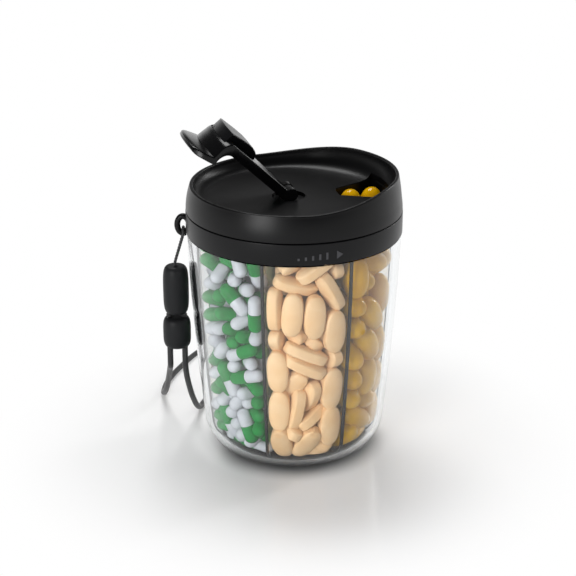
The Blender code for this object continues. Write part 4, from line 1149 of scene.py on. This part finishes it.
def settled(kind, number, shown, kept=()):
    """Packs one compartment: the shown pills stay near their places, and the rest fill in behind."""
    radius, spots = PILL_SPHERES[kind]
    spots = np.array(spots)
    rng = np.random.default_rng(100 + number)
    centre = FRONT_COMPARTMENT + math.tau * number / COMPARTMENTS
    turn = np.array(((math.cos(centre), math.sin(centre), 0), (-math.sin(centre), math.cos(centre), 0), (0, 0, 1)))
    count = max(0, PILL_COUNT[kind] - len(shown) - len(kept))
    filler = []
    while len(filler) < count:
        x, y = rng.uniform(8, 36), rng.uniform(-17, 17)
        z = rng.uniform(8, 94)
        if math.hypot(x, y) < 34 and abs(math.atan2(y, x)) < math.radians(20):
            filler.append((x, y, z))
    fixed = [*shown, *kept]
    middles = np.array([turn @ m for m, a, b in fixed] + filler)
    axes = np.array([turn @ a for m, a, b in fixed] + list(rng.normal(size=(count, 3))))
    sides = np.array([turn @ b for m, a, b in fixed] + list(rng.normal(size=(count, 3))))
    home = middles[: len(fixed)].copy()
    still = np.arange(len(fixed)) >= len(shown)
    half = math.pi / COMPARTMENTS
    heel = np.linspace(0, CUP_HEIGHT / MM, 400)
    bores = np.array([cup_bore(z * MM) / MM for z in heel])
    edge = radius + VANE_CLEARANCE
    margin = WALL_CLEARANCE + (LOOSE_MARGIN if number == LOOSE_COMPARTMENT else 0.0)
    pairs = None

    def straighten():
        nonlocal axes, sides
        axes /= np.linalg.norm(axes, axis=1, keepdims=True)
        sides = sides - axes * np.sum(sides * axes, axis=1, keepdims=True)
        sides /= np.linalg.norm(sides, axis=1, keepdims=True)

    straighten()
    rest_axes, rest_sides = axes[: len(fixed)].copy(), sides[: len(fixed)].copy()
    size = len(middles)
    reach = 2 * (PILL_HALF_LENGTH[kind] + 0.5)
    for step in range(SETTLE_ROUNDS):
        balls = middles[:, None] + spots[None, :, :1] * axes[:, None] + spots[None, :, 1:] * sides[:, None]
        late = step > SETTLE_ROUNDS * 0.8
        if step % 8 == 0:
            gap = np.linalg.norm(middles[:, None] - middles[None], axis=2)
            pairs = np.argwhere(np.triu(gap < reach, 1))
        one, two = balls[pairs[:, 0]], balls[pairs[:, 1]]
        apart = one[:, :, None] - two[:, None]
        distance = np.sqrt(np.sum(apart * apart, axis=3)) + 1e-6
        deep = 2 * radius - distance
        which, i, j = np.nonzero(deep > 0)
        push = apart[which, i, j] * (0.5 * deep[which, i, j] / distance[which, i, j])[:, None]
        first = pairs[which, 0] * len(spots) + i
        second = pairs[which, 1] * len(spots) + j
        total = size * len(spots)
        moved = np.zeros((total, 3))
        hits = np.bincount(first, minlength=total) + np.bincount(second, minlength=total)
        for k in range(3):
            moved[:, k] = np.bincount(first, push[:, k], total) - np.bincount(second, push[:, k], total)
        balls = balls + (1.3 * moved / np.maximum(hits, 1)[:, None]).reshape(balls.shape)
        if not late:
            balls[:, :, 2] -= SETTLE_DRIFT
        for sign in (1, -1):
            out = balls[:, :, 0] * math.sin(half) - sign * balls[:, :, 1] * math.cos(half)
            back = np.maximum(0.0, edge - out)
            balls[:, :, 0] += back * math.sin(half)
            balls[:, :, 1] -= sign * back * math.cos(half)
        balls[:, :, 2] = np.clip(balls[:, :, 2], PILL_FLOOR + radius, PILL_CEILING - radius)
        wide = np.linalg.norm(balls[:, :, :2], axis=2)
        room = np.interp(balls[:, :, 2] - 0.4 * radius, heel, bores) - radius - margin
        low = balls[:, :, 2] < CUP_HEEL_RADIUS / MM
        drop = np.clip(CUP_HEEL_RADIUS / MM - balls[:, :, 2], 0, None)
        heel_room = CUP_HEEL_RADIUS / MM - CUP_WALL / MM - radius - HEEL_MARGIN
        curve = CUP_FOOT_RADIUS / MM + np.sqrt(np.clip(heel_room**2 - drop**2, 0, None))
        room = np.where(low, curve, room)
        balls[:, :, :2] *= np.minimum(1.0, room / wide)[:, :, None]
        middles = balls.mean(axis=1)
        spread = balls - middles[:, None]
        axes = np.sum(spread * spots[None, :, :1], axis=1)
        if np.any(spots[:, 1]):
            sides = np.sum(spread * spots[None, :, 1:], axis=1)
        straighten()
        if len(fixed):
            pull = np.where(still, 1.0, 0.0 if late else ANCHOR_PULL)[:, None]
            middles[: len(fixed)] += pull * (home - middles[: len(fixed)])
            axes[: len(fixed)] += pull * (rest_axes - axes[: len(fixed)])
            sides[: len(fixed)] += pull * (rest_sides - sides[: len(fixed)])
            straighten()
    return middles @ turn, axes @ turn, sides @ turn


def revolved(profile, sides=20):
    """Points (along, across, up) and faces of a closed form turned about its long axis."""
    points, faces = [], []
    for u, r in profile[1:-1]:
        points += [(u, r * math.cos(math.tau * k / sides), r * math.sin(math.tau * k / sides)) for k in range(sides)]
    rings = len(profile) - 2
    for i in range(rings - 1):
        for k in range(sides):
            a, b = i * sides + k, i * sides + (k + 1) % sides
            faces.append((a, b, b + sides, a + sides))
    points += [(profile[0][0], 0.0, 0.0), (profile[-1][0], 0.0, 0.0)]
    start, end = rings * sides, rings * sides + 1
    for k in range(sides):
        after = (k + 1) % sides
        faces.append((start, after, k))
        faces.append((end, (rings - 1) * sides + k, (rings - 1) * sides + after))
    return np.array(points), faces


def capsule_half(radius, seam, tip):
    """One shell of a two-piece capsule, from its seam to its round end. The sign of tip is its side."""
    sign = math.copysign(1.0, tip)
    dome = arc(abs(tip) - radius, 0.0, radius, radius, 0.0, math.radians(90), 7)
    profile = [(sign * x, y) for x, y in dome] + [(seam + sign * 0.12, radius), (seam, radius - 0.12), (seam, 0.0)]
    return revolved(profile if sign < 0 else profile[::-1])


def softgel_form():
    half, radius = PILL_HALF_LENGTH["softgel"], PILL_SPHERES["softgel"][0]
    profile = []
    for i in range(21):
        u = -math.cos(math.pi * i / 20)
        profile.append((half * u, radius * (1 - abs(u) ** 2.7) ** (1 / 2.1)))
    return revolved(profile, 24)


def tablet_form():
    """A film-coated caplet: an oblong outline with domed faces and a narrow straight edge."""
    half, width, sides = PILL_HALF_LENGTH["tablet"], 4.1, 36
    rim = []
    for k in range(sides):
        c, s = math.cos(math.tau * k / sides), math.sin(math.tau * k / sides)
        rim.append((half * math.copysign(abs(c) ** 0.8, c), width * math.copysign(abs(s) ** 0.8, s)))
    levels = [(share, 1.35 + 1.45 * math.sqrt(1 - share**2)) for share in (0.25, 0.5, 0.72, 0.87, 0.95, 0.99, 1.0)]
    levels += [(share, -up) for share, up in reversed(levels)]
    points, faces = [], []
    for share, up in levels:
        inset = (1 - share) * width
        points += [(x * (half - inset) / half, y * share, up) for x, y in rim]
    for i in range(len(levels) - 1):
        for k in range(sides):
            a, b = i * sides + k, i * sides + (k + 1) % sides
            faces.append((a, a + sides, b + sides, b))
    last = (len(levels) - 1) * sides
    points += [(0.0, 0.0, 2.8), (0.0, 0.0, -2.8)]
    for k in range(sides):
        after = (k + 1) % sides
        faces.append((len(points) - 2, k, after))
        faces.append((len(points) - 1, last + after, last + k))
    return np.array(points), faces


def scattered(name, form, middles, axes, sides, material):
    """One piece with a copy of a form at each place."""
    points, faces = form
    ups = np.cross(axes, sides)
    placed_points = (
        middles[:, None]
        + points[None, :, :1] * axes[:, None]
        + points[None, :, 1:2] * sides[:, None]
        + points[None, :, 2:] * ups[:, None]
    )
    mesh = bpy.data.meshes.new(name)
    every = [tuple(i + n * len(points) for i in face) for n in range(len(middles)) for face in faces]
    mesh.from_pydata((placed_points.reshape(-1, 3) * MM).tolist(), [], every)
    obj = link(bpy.data.objects.new(name, mesh))
    smooth(obj)
    wear(obj, material)
    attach(obj, "cup")
    return obj


def gelatin(name, code, shade, roughness):
    """Hard gelatin shell: smooth and glossy, a little deeper in colour in patches."""
    look = new_material(name, Base_Color=srgb(code), IOR=1.5, Roughness=roughness, Specular_IOR_Level=0.15)
    textured(look, 5, 2.0, tint=(code, shade))
    return textured(look, 1.5, 1.0, relief=(0.3, 0.05))


def film_coat(name, code, shade):
    """Film-coated pressed powder: a matt cream skin over fine grains."""
    look = new_material(name, Base_Color=srgb(code), IOR=1.48)
    textured(look, 7, 3.0, tint=(code, shade))
    return textured(look, 0.5, 4.0, relief=(0.4, 0.05), roughness=(0.4, 0.6))


def oil_softgel(name, code, shade):
    """Soft gelatin round clear oil: amber, glossy, and partly let through by the light."""
    look = new_material(
        name, Base_Color=srgb(code), IOR=1.47, Roughness=0.08, Transmission_Weight=0.2, Specular_IOR_Level=0.2
    )
    textured(look, 8, 2.0, tint=(code, shade))
    return textured(look, 3, 1.0, relief=(0.3, 0.15))


def make_pills():
    """What the compartments hold: loose pills, which ride with the cup."""
    green = gelatin("hard gelatin cap", "#008f3c", "#00601c", 0.14)
    white = gelatin("hard gelatin body", "#c6c8cc", "#b4b7bd", 0.2)
    cream = film_coat("film-coated tablet", "#f0d2a8", "#e6b67c")
    amber = oil_softgel("soft gelatin", "#f2c000", "#d29400")
    shown = [[] for _ in range(COMPARTMENTS)]
    for kind, middle, axis, side in front_pills():
        away = math.atan2(middle[1], middle[0]) - FRONT_COMPARTMENT
        number = round(away / (math.tau / COMPARTMENTS)) % COMPARTMENTS
        if PILL_KINDS[number] == kind:
            shown[number].append((middle, axis, side))
    for number, kind in enumerate(PILL_KINDS):
        kept = []
        if number == PORT_COMPARTMENT:
            for middle, axis in PORT_SOFTGELS:
                axis = np.array(axis) / np.linalg.norm(axis)
                kept.append((np.array(middle), axis, np.cross(axis, (0.0, 0.0, 1.0))))
        middles, axes, sides = settled(kind, number, shown[number], kept)
        if kept:
            first = len(shown[number])
            chosen = slice(first, first + len(kept))
            loose = scattered("port_softgels", softgel_form(), middles[chosen], axes[chosen], sides[chosen], amber)
            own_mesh(loose)
            middles, axes, sides = (np.delete(part, chosen, axis=0) for part in (middles, axes, sides))
        places = (middles, axes, sides)
        if kind == "capsule":
            cap, body = capsule_half(2.8, -0.4, 7.6), capsule_half(2.62, -0.4, -7.6)
            scattered(f"capsule_caps_{number}", cap, *places, green)
            scattered(f"capsule_bodies_{number}", body, *places, white)
        elif kind == "tablet":
            scattered(f"tablets_{number}", tablet_form(), *places, cream)
        else:
            scattered(f"softgels_{number}", softgel_form(), *places, amber)


def dress_frame_nodes():
    """Materials for the pieces whose shape the frame already has."""
    looks = {
        "collar_gasket": soft_rubber("silicone gasket", "#c9cbcb", 0.5),
        "hinge_pin": steel_wire("drawn steel pin"),
    }
    for name, look in looks.items():
        wear(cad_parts[name], look)


def add_floor():
    shell = bmesh.new()
    bmesh.ops.create_circle(shell, cap_ends=True, segments=96, radius=3.0)
    floor = mesh_object("floor", shell)
    material = bpy.data.materials.new("pale studio floor")
    material.use_nodes = True
    tree = material.node_tree
    shader = tree.nodes["Principled BSDF"]
    shader.inputs["Roughness"].default_value = 0.22
    shader.inputs["Specular IOR Level"].default_value = 0.3
    white = add_node(tree, "ShaderNodeEmission", {"Strength": 1.0})
    place = add_node(tree, "ShaderNodeTexCoord").outputs["Object"]
    away = add_node(tree, "ShaderNodeVectorMath", {0: place}, operation="LENGTH")
    # the clear cup is left out of the lamps' shadows, so a painted shadow darkens the floor round its heel, grey
    # near the cup and pale from 40 mm out
    heel = add_node(
        tree,
        "ShaderNodeMapRange",
        {"Value": away.outputs["Value"], "From Min": 24 * MM, "From Max": 40 * MM},
        interpolation_type="SMOOTHSTEP",
    )
    # painted shadow: dark grey under the cup's heel, blending out to the floor's pale colour
    painted_heel_shadow = add_node(tree, "ShaderNodeMix", {"Factor": heel.outputs["Result"]}, data_type="RGBA")
    painted_heel_shadow.inputs["A"].default_value = srgb("#545454")
    painted_heel_shadow.inputs["B"].default_value = srgb("#f4f4f4")
    tree.links.new(painted_heel_shadow.outputs["Result"], shader.inputs["Base Color"])
    fade = add_node(
        tree,
        "ShaderNodeMapRange",
        {"Value": away.outputs["Value"], "From Min": 55 * MM, "From Max": 125 * MM},
        interpolation_type="SMOOTHSTEP",
    )
    path = add_node(tree, "ShaderNodeLightPath")
    seen = add_node(
        tree,
        "ShaderNodeMath",
        {0: path.outputs["Is Camera Ray"], 1: path.outputs["Is Glossy Ray"]},
        operation="MAXIMUM",
    )
    seen = add_node(
        tree,
        "ShaderNodeMath",
        {0: seen.outputs[0], 1: path.outputs["Is Transmission Ray"]},
        operation="MAXIMUM",
    )
    amount = add_node(
        tree, "ShaderNodeMath", {0: seen.outputs[0], 1: fade.outputs["Result"]}, operation="MULTIPLY"
    )
    mix = add_node(
        tree, "ShaderNodeMixShader", {0: amount.outputs[0], 1: shader.outputs[0], 2: white.outputs[0]}
    )
    tree.links.new(mix.outputs[0], tree.nodes["Material Output"].inputs["Surface"])
    floor.data.materials.append(material)


def add_world():
    """A pale backdrop up to a little above the horizon, under a dimmer ceiling."""
    world = bpy.data.worlds.new("Studio")
    bpy.context.scene.world = world
    world.use_nodes = True
    tree = world.node_tree
    path = add_node(tree, "ShaderNodeLightPath")
    seen = add_node(
        tree,
        "ShaderNodeMath",
        {0: path.outputs["Is Camera Ray"], 1: path.outputs["Is Transmission Ray"]},
        operation="MAXIMUM",
    )
    seen = add_node(
        tree, "ShaderNodeMath", {0: seen.outputs[0], 1: path.outputs["Is Glossy Ray"]}, operation="MAXIMUM"
    )
    up = add_node(tree, "ShaderNodeSeparateXYZ", {0: add_node(tree, "ShaderNodeTexCoord").outputs["Generated"]})
    ceiling = add_node(
        tree,
        "ShaderNodeMapRange",
        {
            "Value": up.outputs["Z"],
            "From Min": 0.02,
            "From Max": 0.3,
            "To Min": 1.0,
            "To Max": 0.08,
        },
    )
    dim = add_node(
        tree,
        "ShaderNodeMix",
        {"Factor": seen.outputs[0]},
        data_type="FLOAT",
    )
    dim.inputs["A"].default_value = 0.48
    tree.links.new(ceiling.outputs["Result"], dim.inputs["B"])
    background = tree.nodes["Background"]
    tree.links.new(dim.outputs["Result"], background.inputs["Strength"])
    background.inputs["Color"].default_value = (1.0, 1.0, 1.0, 1.0)


def add_lamp(name, azimuth, elevation, distance, size, power):
    """A softbox that faces the bottle. Azimuth 0 is in front, 90 to the right."""
    lamp = bpy.data.lights.new(name, "AREA")
    lamp.shape = "RECTANGLE"
    lamp.size, lamp.size_y = size
    lamp.energy = power
    holder = link(bpy.data.objects.new(name, lamp))
    a, e = math.radians(azimuth), math.radians(elevation)
    away = Vector((math.sin(a) * math.cos(e), -math.cos(a) * math.cos(e), math.sin(e)))
    holder.location = Vector((0.0, 0.0, 60 * MM)) + away * distance
    holder.rotation_euler = away.to_track_quat("Z", "Y").to_euler()


def add_light():
    add_world()
    add_lamp("Key softbox", -34, 14, 1.0, (0.35, 0.45), 4.6)
    add_lamp("Side strip", 122, 20, 0.9, (0.12, 0.5), 2.2)
    add_lamp("Top softbox", 196, 62, 1.1, (0.5, 0.5), 6.5)


add_camera()
make_cords()
make_cup()
make_hub()
make_vanes()
make_collar()
make_lid()
make_lever()
make_pills()
dress_frame_nodes()
add_floor()
add_light()
bpy.context.scene.view_settings.view_transform = "Standard"
